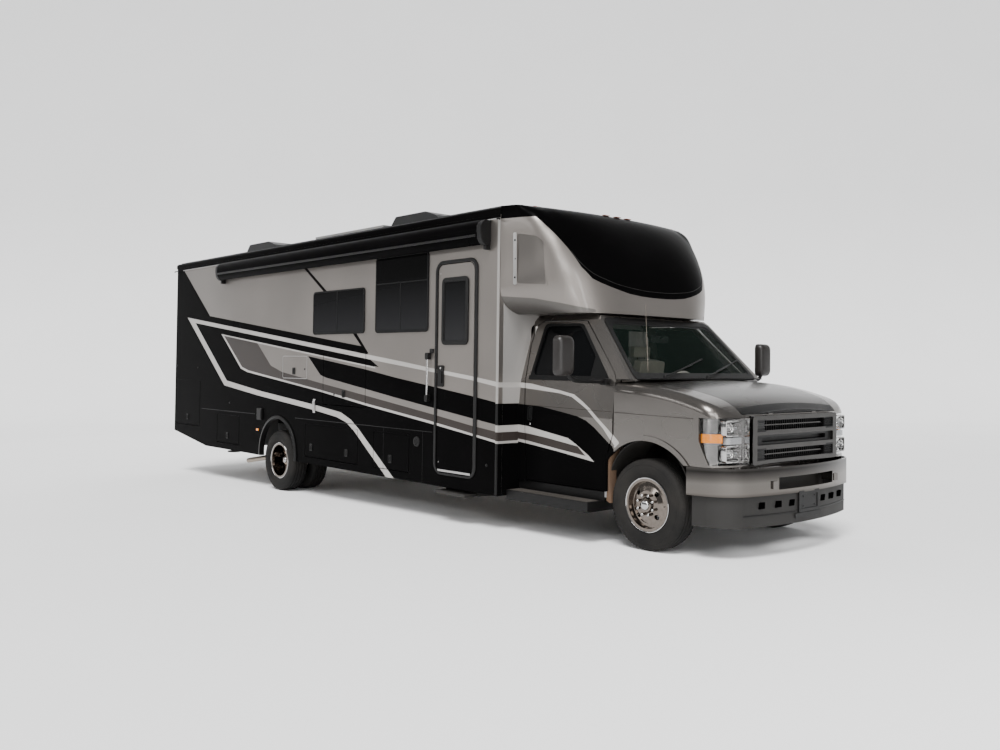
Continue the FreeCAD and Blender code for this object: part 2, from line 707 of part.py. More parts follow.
def tyre_path(centre):
    """Section of a tyre about its centre plane, as (y, radius)."""
    bead = d.rim_half - 8
    half = d.tyre_half
    seat = d.rim_r + d.seat_gap
    flank = d.rim_edge_r + 4
    return [
        (centre - bead, seat), (centre + bead, seat), (centre + bead, flank),
        (centre + half - 12, d.tyre_r - 20, centre + half, (d.tyre_r + d.rim_r) / 2),
        (centre + half - 32, d.tyre_r), (centre - half + 32, d.tyre_r),
        (centre - half + 12, d.tyre_r - 20),
        (centre - bead, flank, centre - half, (d.tyre_r + d.rim_r) / 2),
    ]


def dressed_wheel(rim, side, face, back, lug_foot):
    """A rim with four hand holes through its disc and eight lug nuts around its hub."""
    start, end = side_span(side, back, face)
    holes = []
    for number in range(4):
        turn = math.radians(45 + 90 * number)
        x = d.hand_hole_at * math.cos(turn)
        z = d.hand_hole_at * math.sin(turn)
        holes.append(rod("Y", x, start, z, d.hand_hole_r, end - start))
    start, end = side_span(side, lug_foot, lug_foot + d.lug_height)
    lugs = []
    for number in range(8):
        turn = math.radians(22.5 + 45 * number)
        x = d.lug_circle_r * math.cos(turn)
        z = d.lug_circle_r * math.sin(turn)
        lugs.append(rod("Y", x, start, z, d.lug_r, end - start))
    return fuse([cut(rim, holes)] + lugs)


def make_front_wheel(name, side):
    s = side
    edge = d.rim_half
    barrel = edge - 6
    bore = d.spindle_r + d.seat_gap
    rim = [
        (-edge * s, d.rim_edge_r), (-barrel * s, d.rim_edge_r), (-barrel * s, d.rim_r), (barrel * s, d.rim_r),
        (barrel * s, d.rim_edge_r), (edge * s, d.rim_edge_r), (edge * s, d.rim_r - 11),
        (64 * s, d.rim_r - 17), (68 * s, d.rim_r - 50), (84 * s, d.hub_r + 40), (86 * s, d.hub_r - 6),
        (108 * s, d.hub_r - 16), (112 * s, d.hub_r - 30), (112 * s, 0), (40 * s, 0), (40 * s, bore),
        (-8 * s, bore), (-8 * s, d.hub_r), (50 * s, d.hub_r + 8), (54 * s, d.rim_r - 50),
        (46 * s, d.rim_r - 19), (-edge * s, d.rim_r - 10),
    ]
    at = (0, d.front_track / 2 * s, d.tyre_r)
    wheel = dressed_wheel(turned_body("rim", [rim]), side, edge + 10, 30, 82)
    keep(wheel, "front_rim_" + name, at=at)
    keep(turned_body("front_tyre_" + name, [tyre_path(0)]), "front_tyre_" + name, at=at)


def make_rear_wheels(name, side):
    s = side
    half = d.twin_space / 2
    edge = d.rim_half
    lip = d.rim_edge_r
    seat = d.rim_r
    bore = d.stub_r + d.seat_gap
    rim = [
        (-(half + edge) * s, lip), (-(half + edge - 6) * s, lip), (-(half + edge - 6) * s, seat),
        (-(half - edge + 6) * s, seat), (-(half - edge + 6) * s, lip), (-(half - edge) * s, lip),
        (-(half - edge) * s, seat - 12), (-12 * s, seat - 34), (12 * s, seat - 34),
        ((half - edge) * s, seat - 12), ((half - edge) * s, lip), ((half - edge + 6) * s, lip),
        ((half - edge + 6) * s, seat), ((half + edge - 6) * s, seat), ((half + edge - 6) * s, lip),
        ((half + edge) * s, lip), ((half + edge) * s, seat - 10), (70 * s, seat - 19), (18 * s, seat - 46),
        (18 * s, d.rear_hub_r + 6), (60 * s, d.rear_hub_r), (150 * s, d.rear_hub_r - 6),
        (160 * s, d.rear_hub_r - 20), (160 * s, 0), (30 * s, 0), (30 * s, bore), (-60 * s, bore),
        (-60 * s, d.rear_hub_r), (-18 * s, d.rear_hub_r + 6), (-18 * s, seat - 46), (-70 * s, seat - 19),
        (-(half + edge) * s, seat - 10),
    ]
    at = (axle_x, d.rear_track / 2 * s, d.tyre_r)
    keep(dressed_wheel(turned_body("rims", [rim]), side, 40, -40, 16), "rear_rims_" + name, at=at)
    tyres = turned_body("rear_tyres_" + name, [tyre_path(-half), tyre_path(half)])
    keep(tyres, "rear_tyres_" + name, at=at)


# Cab

def xz_prism(points, y0, y1):
    wire = Part.makePolygon([V(float(x), float(y0), float(z)) for x, z in points + points[:1]])
    return Part.Face(wire).extrude(V(0, float(y1) - float(y0), 0))


def yz_face(points, x):
    wire = Part.makePolygon([V(float(x), float(y), float(z)) for y, z in points + points[:1]])
    return Part.Face(wire)


def cab_section():
    """Half section of the cab side from sill to roof, as (y, z)."""
    return [
        (d.cab_half - 7, d.cab_sill), (d.cab_half, 1050), (d.cab_belt_half, d.cab_belt),
        (d.cab_roof_half, d.cab_roof - 55), (d.cab_roof_half - 60, d.cab_roof),
    ]


def cab_cross(inset, x0, x1):
    """The cab's cross section between two stations, with its foot wells, moved in by an inset."""
    half = cab_section()
    low = [(d.cab_well_y, d.cab_floor), (d.cab_well_y, d.cab_sill)]
    points = [(-y, z) for y, z in reversed(half)] + [(-y, z) for y, z in reversed(low)]
    points += low + half
    face = yz_face(points, x0)
    if inset:
        face = face.makeOffset2D(-float(inset), 2)
    return face.extrude(V(float(x1) - float(x0), 0, 0))


def cab_profile(inset):
    """The cab's side profile from the seam to the windscreen, moved in by an inset."""
    points = [
        (d.cab_seam_x - 200, d.cab_sill), (d.cab_front, d.cab_sill), (d.cab_front, d.cab_belt),
        (d.screen_foot_x, d.screen_foot_z), (d.screen_head_x, d.screen_head_z),
        (d.screen_head_x - 150, d.cab_roof), (d.cab_seam_x - 200, d.cab_roof),
    ]
    wire = Part.makePolygon([V(float(x), -1200, float(z)) for x, z in points + points[:1]])
    face = Part.Face(wire)
    if inset:
        face = face.makeOffset2D(-float(inset), 2)
    return face.extrude(V(0, 2400, 0))


def door_path(gap):
    """Outline of a cab door as (x, z), grown by a gap."""
    g = float(gap)
    return [
        (-432 + g, 440 - g), (-432 + g, 700), (-356 + g, 925), (-352 + g, 1375), (-395 + g, 1450),
        (-838 + g, 1895 + g), (-1400, 1900 + g), (-1462 - 1.5 * g, 1860), (-1484 - 1.5 * g, 1700),
        (-1425 - 1.5 * g, 1080), (-1390 - 1.5 * g, 440 - g),
    ]


def side_band(side, outer, inner, x0, x1):
    """A strip of the cab's side between two depths below its skin, from sill to door top."""
    line = [(y, z) for y, z in cab_section()[:4]]
    face = yz_face([((y - outer) * side, z) for y, z in line] +
                   [((y - inner) * side, z) for y, z in reversed(line)], x0)
    return face.extrude(V(float(x1) - float(x0), 0, 0))


def door_window(gap):
    g = float(gap)
    ways = ((1, -1), (1, 1), (-1, 1), (-1, -1))
    return [(x + g * out, z + g * up) for (x, z), (out, up) in zip(CAB_WINDOW, ways)]


def cab_solid(inset):
    rear = float(d.cab_seam_x) + (float(d.seat_gap) if not inset else -50)
    return cab_cross(inset, rear, 0).common(cab_profile(inset))


def screen_face(gap, x):
    g = float(gap)
    (low_half, low), (high_half, high) = SCREEN
    return yz_face([(-low_half - g, low - g), (low_half + g, low - g), (high_half + g, high + g),
                    (-high_half - g, high + g)], x)


def make_cab():
    shell = cab_solid(0).cut(cab_solid(d.cab_skin))
    for side in (-1, 1):
        band = side_band(side, -30, d.cab_door_thick + 30, d.cab_seam_x, 100)
        shell = shell.cut(band.common(xz_prism(door_path(d.door_gap), -1100, 1100)))
        wells = [(-446, 300), (-446, 960), (-330, 960), (-330, 300)]
        y0, y1 = (735, 1100) if side > 0 else (-1100, -735)
        shell = shell.cut(xz_prism(wells, y0, y1))
        corner = [(-380, 940), (-380, 1385), (0, 1385), (0, 940)]
        y0, y1 = (900, 1100) if side > 0 else (-1100, -900)
        shell = shell.cut(xz_prism(corner, y0, y1))
    shell = shell.cut(screen_face(0, -900).extrude(V(1000, 0, 0)))
    half = float(d.doghouse_half)
    tunnel = Part.makeBox(100, 2 * half, float(d.doghouse_top) - 300, V(float(d.cab_front) - 60, -half, 300))
    floor_cut = Part.makeBox(500, 2 * half, 400, V(float(d.cab_front) - 450, -half, 300))
    shell = shell.cut(tunnel).cut(floor_cut)
    for side in (-1, 1):
        for block in door_hinges(side):
            shell = shell.fuse(block)
    return keep(feature(shell, "cab_shell"), "cab_shell")


def door_hinges(side):
    """Blocks on the cab's front pillar that the door's front edge turns at."""
    blocks = []
    outer = 982
    front = float(d.cab_front)
    for low, leaf_x in ((1000, -354.5), (1180, -352.9)):
        for depth, x0, x1 in ((120, front, front + 40), (40, leaf_x, front + 1)):
            y0, y1 = side_span(side, outer - depth, outer)
            blocks.append(Part.makeBox(x1 - x0, depth, 60, V(x0, y0, low)))
    return blocks


def make_windscreen():
    skin = cab_solid(0.01).cut(cab_solid(d.glass))
    pane = skin.common(screen_face(-d.seat_gap, -900).extrude(V(1000, 0, 0)))
    return keep(feature(pane, "windscreen"), "windscreen")


def make_cab_doors():
    rear = float(d.cab_seam_x)
    for name, side in SIDES:
        wall = side_band(side, 0, d.cab_door_thick, rear, 0)
        leaf = wall.common(xz_prism(door_path(0), -1100, 1100)).cut(xz_prism(door_window(0), -1100, 1100))
        upper = side_band(side, d.cab_skin + d.glass + 8, d.cab_door_thick + 10, rear, 0)
        above = [(-2000, 1390), (0, 1390), (0, 2000), (-2000, 2000)]
        leaf = leaf.cut(upper.common(xz_prism(above, -1100, 1100)))
        keep(feature(leaf, "cab_door_" + name), "cab_door_" + name)
        pane = side_band(side, d.cab_skin, d.cab_skin + d.glass, rear, 0)
        pane = pane.common(xz_prism(door_window(-d.seat_gap), -1100, 1100))
        keep(feature(pane, "cab_door_glass_" + name), "cab_door_glass_" + name)


def make_mirrors():
    """Tall mirror heads on long arms from the front of each cab door."""
    for name, side in SIDES:
        start, end = side_span(side, d.mirror_y - d.mirror_half, d.mirror_y + d.mirror_half)
        back = d.mirror_x - d.mirror_depth / 2
        outline = rounded(back, d.mirror_low, back + d.mirror_depth, d.mirror_high, 30)
        head = padded_body("head", "XZ", start, end, [outline])
        pocket(head, "YZ", back, back + 6,
               [rounded(start + 14, d.mirror_low + 40, end - 14, d.mirror_high - 40, 20)])
        foot = Part.makeBox(70, 60, 46, V(-482, side_span(side, 960, 1020)[0], 1338))
        foot = foot.cut(side_band(side, -float(d.seat_gap), 200, -600, -300))
        root = V(-447, 1003 * side, 1364)
        tip = V(float(d.mirror_x), (float(d.mirror_y) - 60) * side, float(d.mirror_low) + 25)
        along = tip - root
        arm = Part.makeCylinder(float(d.mirror_arm_r), along.Length, root, along)
        bracket = feature(foot.fuse(arm), "bracket")
        keep(fuse([head, bracket]), "mirror_" + name)


# Front end: sections across the nose, as x, half width, side height and centre height
NOSE = (
    (-430, 1002, 1372, 1390), (-150, 1004, 1356, 1384), (200, 1007, 1316, 1350),
    (450, 1003, 1258, 1298), (600, 985, 1203, 1245), (680, 900, 1150, 1195), (730, 730, 1120, 1160),
)


def nose_wire(x, half, side_top, centre_top, low):
    """One section of the nose with rounded shoulders and a crowned top."""
    shoulder = 90
    p = [
        V(x, -half, low), V(x, -half, side_top - shoulder), V(x, -half + shoulder, side_top),
        V(x, half - shoulder, side_top), V(x, half, side_top - shoulder), V(x, half, low),
    ]
    dip = shoulder * 0.3
    edges = [
        Part.makeLine(p[0], p[1]),
        Part.Arc(p[1], V(x, -half + dip, side_top - dip), p[2]).toShape(),
        Part.Arc(p[2], V(x, 0, centre_top), p[3]).toShape(),
        Part.Arc(p[3], V(x, half - dip, side_top - dip), p[4]).toShape(),
        Part.makeLine(p[4], p[5]), Part.makeLine(p[5], p[0]),
    ]
    return Part.Wire(edges)


def nose_solid(inset):
    inset = float(inset)
    low = float(d.nose_low) - (60 if inset else 0)
    wires = []
    for x, half, side_top, centre_top in NOSE:
        wires.append(nose_wire(x - inset, half - inset, side_top - inset, centre_top - inset, low))
    return Part.makeLoft(wires, True, False)


def hood_zone(gap):
    g = float(gap)
    rear = float(d.hood_rear) - g
    points = [
        V(rear, -float(d.hood_half_rear) - g, 0), V(rear, float(d.hood_half_rear) + g, 0),
        V(760, float(d.hood_half_front) + g, 0), V(760, -float(d.hood_half_front) - g, 0),
    ]
    face = Part.Face(Part.makePolygon(points + points[:1]))
    face.translate(V(0, 0, float(d.hood_lip) - g))
    return face.extrude(V(0, 0, 400))


def lamp_zone(side, gap):
    """The room of a headlamp, its lower outer corner cut off at a slant."""
    g = float(gap)
    rear, low, high = (float(size) for size in (d.lamp_rear, d.lamp_low, d.lamp_high))
    face = [
        (rear - g, float(d.lamp_slant_z)), (rear - g, high + g), (rear + 400, high + g),
        (rear + 400, low - g), (rear + float(d.lamp_slant) - g, low - g),
    ]
    return xz_prism(face, *side_span(side, float(d.lamp_inner) - g, 1080))


def fender_arch(reach=0.0):
    """The front wheel opening, grown by a reach."""
    half = float(d.fender_arch_half) + reach
    side_z = float(d.fender_arch_side)
    points = [V(-half, 0, 200), V(-half, 0, side_z), V(half, 0, side_z), V(half, 0, 200)]
    edges = [
        Part.makeLine(points[0], points[1]),
        Part.Arc(points[1], V(0, 0, float(d.fender_arch_top) + reach), points[2]).toShape(),
        Part.makeLine(points[2], points[3]), Part.makeLine(points[3], points[0]),
    ]
    face = Part.Face(Part.Wire(edges))
    face.translate(V(0, -1200, 0))
    return face.extrude(V(0, 2400, 0))


def make_front_end():
    skin = nose_solid(0).cut(nose_solid(d.nose_skin))
    hood = skin.common(hood_zone(0))
    rim = fender_arch(float(d.flare_width)).cut(fender_arch())
    flare = nose_solid(-float(d.flare_proud)).cut(nose_solid(d.nose_skin)).common(rim)
    fenders = skin.fuse(flare).cut(hood_zone(d.seam_gap)).cut(fender_arch())
    for side in (-1, 1):
        fenders = fenders.cut(lamp_zone(side, d.seat_gap))
    half = float(d.grille_half) + float(d.seat_gap)
    low = float(d.grille_low) - float(d.seat_gap)
    high = float(d.grille_high) + float(d.seat_gap)
    fenders = fenders.cut(Part.makeBox(300, 2 * half, high - low, V(600, -half, low)))
    rear_edge = [(-500, 300), (-424, 300), (-424, 704), (-346, 932), (-344, 1392), (-500, 1392)]
    fenders = fenders.cut(xz_prism(rear_edge, -1100, 1100))
    below = Part.makeBox(600, 2400, 400, V(360, -1200, float(d.bumper_high) + float(d.seam_gap) - 400))
    fenders = fenders.cut(below)
    foot = Part.makeBox(400, 1900, 400, V(float(d.screen_foot_x) - 400, -950, 1200))
    behind = Part.makeBox(200, 1920, 1500, V(float(d.cab_front) - 199.7, -960, 0))
    fenders = fenders.cut(foot).cut(behind)
    rail_notch = float(d.rail_y) + float(d.rail_width) / 2 + 5
    half = float(d.lamp_inner) - 5
    support = Part.makeBox(15, 2 * half, 625, V(590, -half, 505))
    window = Part.makeBox(40, 1180, 330, V(580, -590, 720))
    notch = Part.makeBox(40, 2 * rail_notch, float(d.rail_high) + 10 - 400, V(580, -rail_notch, 400))
    support = support.cut(window).cut(notch)
    shelf_low = float(d.grille_high) + float(d.seat_gap)
    shelf_top = float(d.hood_lip) - float(d.seam_gap)
    shelf = Part.makeBox(140, 2 * half, shelf_top - shelf_low, V(590, -half, shelf_low))
    support = support.fuse(shelf.common(nose_solid(0.5)))
    for side in (-1, 1):
        stop_height = float(d.seam_gap) - float(d.seat_gap)
        stop = Part.makeBox(20, 60, stop_height, V(706, 330 * side - 30, shelf_top))
        support = support.fuse(stop)
    fenders = fenders.fuse(support)
    keep(feature(fenders, "front_fenders"), "front_fenders")
    keep(feature(hood, "hood"), "hood")
    lamps = []
    lens = nose_solid(0.01).cut(nose_solid(d.lamp_depth))
    for side in (-1, 1):
        lamps.append(lens.common(lamp_zone(side, 0)))
    keep(feature(Part.makeCompound(lamps), "headlamps"), "headlamps")


def make_grille():
    """Bright surround with three open rows: fluted blocks beside the outer slots, a nested middle one."""
    start = d.grille_x - d.grille_depth
    outline = rounded(-d.grille_half, d.grille_low, d.grille_half, d.grille_high, d.grille_corner)
    surround = padded_body("surround", "YZ", start, d.grille_x, [outline])
    row_half = d.grille_half - d.grille_side
    row_height = (d.grille_high - d.grille_low - d.grille_bar * 4) / 3
    rows = []
    for number in range(3):
        low = d.grille_low + d.grille_bar + (row_height + d.grille_bar) * number
        rows.append((low, low + row_height))
        pocket(surround, "YZ", start, d.grille_x, [rounded(-row_half, low, row_half, low + row_height, 14)])
    pieces = [surround]
    for low, high in (rows[0], rows[2]):
        for side in (-1, 1):
            pieces.append(fluted_block(side, row_half, low, high, start))
        middle = (low + high) / 2
        pieces.append(box(start + 12, start + 30, -row_half - 2, row_half + 2, middle - 5, middle + 5))
    low, high = rows[1]
    inset = 20
    nest = rounded(-row_half - 2, low - 2, row_half + 2, high + 2, 14)
    slot = rounded(-row_half + 90, low + inset, row_half - 90, high - inset, 10)
    pieces.append(padded_body("nest", "YZ", start + 6, d.grille_x - 22, [nest, slot]))
    return keep(fuse(pieces), "grille")


def fluted_block(side, row_half, low, high, start):
    """A block at one end of a grille row with level flutes across its face."""
    face = d.grille_x - 10
    inner, outer = side_span(side, row_half - 120, row_half + 2)
    block = box(start + 6, face, inner, outer, low - 2, high + 2)
    count = 4
    pitch = (high - low) / count
    flutes = []
    for number in range(count):
        middle = low + pitch * (number + 0.5)
        flutes.append(box(face - 9, face + 5, inner - 5, outer + 5, middle - 5, middle + 5))
    return cut(block, flutes)


def ribbon(points, wall, low, high):
    """A bent strip from plan points (x, y), the fourth number pair of a point giving an arc."""
    edges = []
    for here, after in zip(points, points[1:]):
        start = V(here[0], here[1], float(low))
        end = V(after[0], after[1], float(low))
        if len(after) == 4:
            edges.append(Part.Arc(start, V(after[2], after[3], float(low)), end).toShape())
        else:
            edges.append(Part.makeLine(start, end))
    outer = Part.Wire(edges)
    inner = outer.makeOffset2D(-float(wall), 2, False, True)
    area = sum(vertex.X for vertex in inner.Vertexes) - sum(vertex.X for vertex in outer.Vertexes)
    if area > 0:
        inner = outer.makeOffset2D(float(wall), 2, False, True)
    band = [outer.OrderedVertexes[0].Point, outer.OrderedVertexes[-1].Point]
    near = [inner.OrderedVertexes[0].Point, inner.OrderedVertexes[-1].Point]
    if band[0].distanceToPoint(near[0]) > band[0].distanceToPoint(near[1]):
        near.reverse()
    closed = Part.Wire(Part.__sortEdges__(outer.Edges + inner.Edges + [
        Part.makeLine(band[0], near[0]), Part.makeLine(band[1], near[1])]))
    return Part.Face(closed).extrude(V(0, 0, float(high) - float(low)))


def make_bumpers():
    plan = [(405, -1002), (560, -975), (785, -775, 705, -895), (785, 775, 880, 0), (560, 975, 705, 895),
            (405, 1002)]
    chrome = ribbon(plan, d.bumper_wall, d.bumper_low, d.bumper_high)
    opening = Part.makeBox(200, 820, 95, V(800, -410, 545))
    chrome = chrome.cut(opening)
    front = float(d.rail_front) + float(d.seat_gap)
    for side in (-1, 1):
        y = float(d.rail_y) * side - 30
        chrome = chrome.fuse(Part.makeBox(856 - front, 60, 60, V(front, y + 45 * side, 555)))
    rear = float(d.rear_x)
    depth = float(d.rear_bumper_depth)
    low = float(d.rear_bumper_low)
    bar = Part.makeBox(depth, 2200, float(d.rear_bumper_height), V(rear - depth - 0.3, -1100, low))
    keep(feature(Part.makeCompound([chrome, bar]), "bumpers"), "bumpers")


def make_valance():
    plan = [(430, -960), (550, -950), (765, -770, 690, -875), (765, 770, 868, 0), (550, 950, 690, 875),
            (430, 960)]
    strip = ribbon(plan, d.valance_wall, d.valance_low, d.bumper_low - d.seat_gap)
    return keep(feature(strip, "lower_valance"), "lower_valance")


# Overcab cap levels: height, front x, drop of the corners and its power, corner and rear half widths
CAP_LEVELS = (
    (1965.3, -662, 150, 4.5, 900, 1020), (2120, -680, 165, 4.5, 960, 1235),
    (2330, -722, 165, 4.5, 1005, 1252), (2600, -842, 155, 4.0, 1040, 1255),
    (2800, -990, 150, 3.2, 1100, 1255), (2955, -1212, 140, 2.4, 1190, 1255),
)


def cap_wire(level, inset, rear_x, z):
    height, front, drop, power, corner, rear_half = level
    shrink = float(inset)
    points = []
    for share in (1.0, 0.93, 0.82, 0.65, 0.4, 0.0):
        y = (corner - shrink) * share
        points.append((front - shrink - drop * share ** power, y))
    side_x = float(d.cab_seam_x) + (points[0][0] - float(d.cab_seam_x)) * 0.5
    side_y = corner + (rear_half - corner) * 0.62 - shrink
    points = [(float(d.cab_seam_x), rear_half - shrink), (side_x, side_y)] + points
    across = [V(x, -y, z) for x, y in points] + [V(x, y, z) for x, y in reversed(points[:-1])]
    curve = Part.BSplineCurve()
    curve.interpolate(across)
    first, last = across[0], across[-1]
    rear = [V(rear_x, first.y, z), V(rear_x, last.y, z)]
    edges = [Part.makeLine(rear[0], first), curve.toShape(), Part.makeLine(last, rear[1]),
             Part.makeLine(rear[1], rear[0])]
    return Part.Wire(edges)


def cap_solid(inset):
    inset = float(inset)
    rear_x = float(d.cab_seam_x) - (40 if inset else 0)
    wires = []
    for index, level in enumerate(CAP_LEVELS):
        z = level[0]
        if inset and index == 0:
            z += inset
        if inset and index == len(CAP_LEVELS) - 1:
            z -= inset
        wires.append(cap_wire(level, inset, rear_x - 0.5, z))
    return Part.makeLoft(wires, True, False)


def make_cap():
    shell = cap_solid(0).cut(cap_solid(d.cap_wall))
    trim = Part.makeBox(100, 2600, 1200, V(float(d.cab_seam_x) - 100 + float(d.seat_gap), -1300, 1900))
    shell = shell.cut(trim)
    return keep(feature(shell, "front_cap"), "front_cap")


# Inside the cab

def make_dashboard():
    front = d.cab_front - d.cab_skin - d.seat_gap
    top = d.dash_high
    profile = [
        (front, d.doghouse_top + 15), (front, top), (front - 170, top - 15), (front - 270, top - 100),
        (front - 290, top - 190), (front - 250, d.doghouse_top + 15),
    ]
    board = padded_body("board", "XZ", -d.dash_half, d.dash_half, [profile])
    hump_low = d.cab_floor + d.cab_skin + d.seat_gap
    hump = box(front - 430, front - 1, -d.doghouse_half, d.doghouse_half, hump_low, d.doghouse_top)
    inside = box(front - 415, front + 20, -d.doghouse_half + d.sheet, d.doghouse_half - d.sheet,
                 d.cab_floor, d.doghouse_top - d.sheet)
    cover = cut(hump, [inside])
    return keep(group([fuse([board] + steering_wheel(front)), cover]), "dashboard")


def steering_wheel(dash_front):
    """Column, ring and crossed spokes about a tilted axis."""
    foot = V(float(dash_front) - 130, float(d.column_y), float(d.column_z))
    tilt = FreeCAD.Rotation(V(0, 1, 0), -float(d.column_tilt))
    column = doc.addObject("Part::Cylinder", "column")
    bind(column, "Radius", d.column_r)
    bind(column, "Height", d.column_length)
    column.Placement = FreeCAD.Placement(foot, tilt)
    ring = doc.addObject("Part::Torus", "ring")
    bind(ring, "Radius1", d.steer_ring_r)
    bind(ring, "Radius2", d.steer_grip_r)
    rim_at = foot + tilt.multVec(V(0, 0, float(d.column_length) - 5))
    ring.Placement = FreeCAD.Placement(rim_at, tilt)
    pieces = [column, ring]
    span = d.steer_ring_r * 2 - 10
    for turn in (0, 90):
        spoke = doc.addObject("Part::Box", "spoke")
        bind(spoke, "Length", span)
        bind(spoke, "Width", d.spoke_width)
        bind(spoke, "Height", d.spoke_thick)
        local = FreeCAD.Rotation(V(0, 0, 1), turn)
        corner = V(-float(span) / 2, -float(d.spoke_width) / 2, -float(d.spoke_thick) / 2)
        start = rim_at + tilt.multVec(local.multVec(corner))
        spoke.Placement = FreeCAD.Placement(start, tilt.multiply(local))
        pieces.append(spoke)
    return pieces


def make_seats():
    seats = []
    foot = d.cab_floor + d.cab_skin + d.seat_gap
    for side in (-1, 1):
        start, end = side_span(side, d.seat_inner, d.seat_outer)
        front, rear, pad_z = d.seat_front, d.seat_rear, d.seat_cushion
        profile = [
            (front, foot), (front, pad_z - 100), (front + 30, pad_z), (front - 10, pad_z + 30),
            (rear + 60, pad_z + 10), (rear + 5, pad_z + 170), (rear - 90, d.seat_head - 145),
            (rear - 105, d.seat_head - 5), (rear - 165, d.seat_head), (rear - 180, d.seat_head - 145),
            (rear - 110, pad_z + 10), (rear - 60, pad_z - 80), (rear, pad_z - 100), (rear, foot),
        ]
        seats.append(padded_body("seat", "XZ", start, end, [profile]))
    return keep(group(seats), "cab_seats")


# Roof, sides and underside

def make_coolers():
    """Roof air conditioners: low shrouds with sloped ends and sides."""
    items = []
    low = d.roof_z + d.seat_gap
    for front in (d.front_cooler_x, d.rear_cooler_x):
        rear = front - d.cooler_length
        profile = [
            (rear, low), (front, low), (front, low + 120), (front - 230, low + d.cooler_height - 60),
            (front - 420, low + d.cooler_height), (rear + 90, low + d.cooler_height),
            (rear, low + d.cooler_height - 90),
        ]
        shroud = padded_body("cooler", "XZ", -d.cooler_half, d.cooler_half, [profile])
        items.append(shroud)
    return keep(group(items), "air_conditioners")


def make_solar():
    items = []
    low = d.roof_z + d.seat_gap
    half = d.solar_width / 2
    front = d.solar_front
    for y in (-d.solar_y, d.solar_y):
        pieces = [box(front - d.solar_length, front, y - half, y + half, low + d.solar_lift,
                      low + d.solar_lift + d.solar_thick)]
        for x in (front - d.solar_length + 60, front - 120):
            pieces.append(box(x, x + 50, y - half + 20, y + half - 20, low, low + d.solar_lift))
        items.append(fuse(pieces))
    return keep(group(items), "solar_panels")


def make_vents():
    items = []
    low = d.roof_z + d.seat_gap
    for x, y in VENTS:
        base = rounded(x, y - d.vent_size / 2, x + d.vent_size, y + d.vent_size / 2, 40)
        items.append(padded_body("vent", "XY", low, low + d.vent_height, [base]))
    return keep(group(items), "roof_vents")


def make_awning():
    face = d.half_width + d.seat_gap
    out = d.half_width + d.awning_out
    middle = (d.awning_low + d.awning_high) / 2
    section = [
        (-face, d.awning_low + 45), (-face, d.awning_high), (-out + 60, d.awning_high),
        (-out, middle, -out + 12, d.awning_high - 50),
        (-out + 60, d.awning_low, -out + 12, d.awning_low + 50),
    ]
    return keep(padded_body("awning", "YZ", d.awning_rear, d.awning_front, [section]), "awning")


def make_boards():
    """Running boards on brackets from the rails."""
    items = []
    for side in (-1, 1):
        start, end = side_span(side, d.board_in, d.board_out)
        board = box(d.board_rear, d.board_front, start, end, d.board_low, d.board_high)
        start, end = side_span(side, d.rail_y + d.rail_width / 2 + d.seat_gap, d.board_in + 40)
        bars = []
        for x in (d.board_rear + 90, d.board_front - 150):
            bars.append(box(x, x + 60, start, end, d.board_low + 20, d.board_high - 20))
            start_up, end_up = side_span(side, d.rail_y + d.rail_width / 2 + d.seat_gap,
                                         d.rail_y + d.rail_width / 2 + 80)
            bars.append(box(x, x + 60, start_up, end_up, d.board_low + 20, d.rail_low + 100))
        items.append(fuse([board] + bars))
    return keep(group(items), "running_boards")


def make_jacks():
    items = []
    for x, low in ((-900, d.jack_low), (-8300, d.jack_low - 100)):
        for side in (-1, 1):
            y = d.jack_y * side
            ram = rod("Z", x, y, low, d.jack_r, d.rail_high - low - 20)
            foot = rod("Z", x, y, low, d.jack_foot_r, 18)
            start, end = side_span(side, d.rail_y + d.rail_width / 2 + d.seat_gap, d.jack_y)
            plate = box(x - 50, x + 50, start, end, d.rail_high - 140, d.rail_high - 20)
            items.append(fuse([ram, foot, plate]))
    return keep(group(items), "levelling_jacks")


def make_exhaust():
    """Tail pipe and silencer along the right of the frame."""
    y, z = float(d.pipe_y), float(d.pipe_z)
    points = [V(-1540, y, z), V(-6150, y, z), V(-6230, -1040, 250), V(-6740, -1100, 162)]
    edges = []
    bend = float(d.pipe_bend)
    previous = points[0]
    for index in range(1, len(points) - 1):
        before = (points[index - 1] - points[index]).normalize()
        after = (points[index + 1] - points[index]).normalize()
        start = points[index] + before * bend
        end = points[index] + after * bend
        half = math.acos(max(-1, min(1, before.dot(after)))) / 2
        radius = bend * math.tan(half)
        centre = points[index] + (before + after).normalize() * (bend / math.cos(half))
        middle = centre + (points[index] - centre).normalize() * radius
        edges.append(Part.makeLine(previous, start))
        edges.append(Part.Arc(start, middle, end).toShape())
        previous = end
    edges.append(Part.makeLine(previous, points[-1]))
    path = Part.Wire(edges)
    ring = Part.Wire(Part.makeCircle(float(d.pipe_r), points[0], V(1, 0, 0)))
    pipe = path.makePipeShell([ring], True, True, 2)
    silencer = Part.makeCylinder(float(d.silencer_r), float(d.silencer_length),
                                 V(float(d.silencer_front), y, z), V(-1, 0, 0))
    pipe = pipe.fuse(silencer)
    strap_low = z + 20
    strap = float(cross_low) - float(d.seat_gap) - strap_low
    for member in (CROSS_MEMBERS[2], CROSS_MEMBERS[4]):
        pipe = pipe.fuse(Part.makeBox(20, 30, strap, V(member + 30, y - 15, strap_low)))
    return keep(feature(pipe, "exhaust_pipe"), "exhaust_pipe")


def make_tank():
    top = cross_low - d.seat_gap
    outline = rounded(d.tank_rear, -d.tank_half, d.tank_front, d.tank_half, d.tank_corner)
    return keep(padded_body("fuel_tank", "XY", top - d.tank_height, top, [outline]), "fuel_tank")


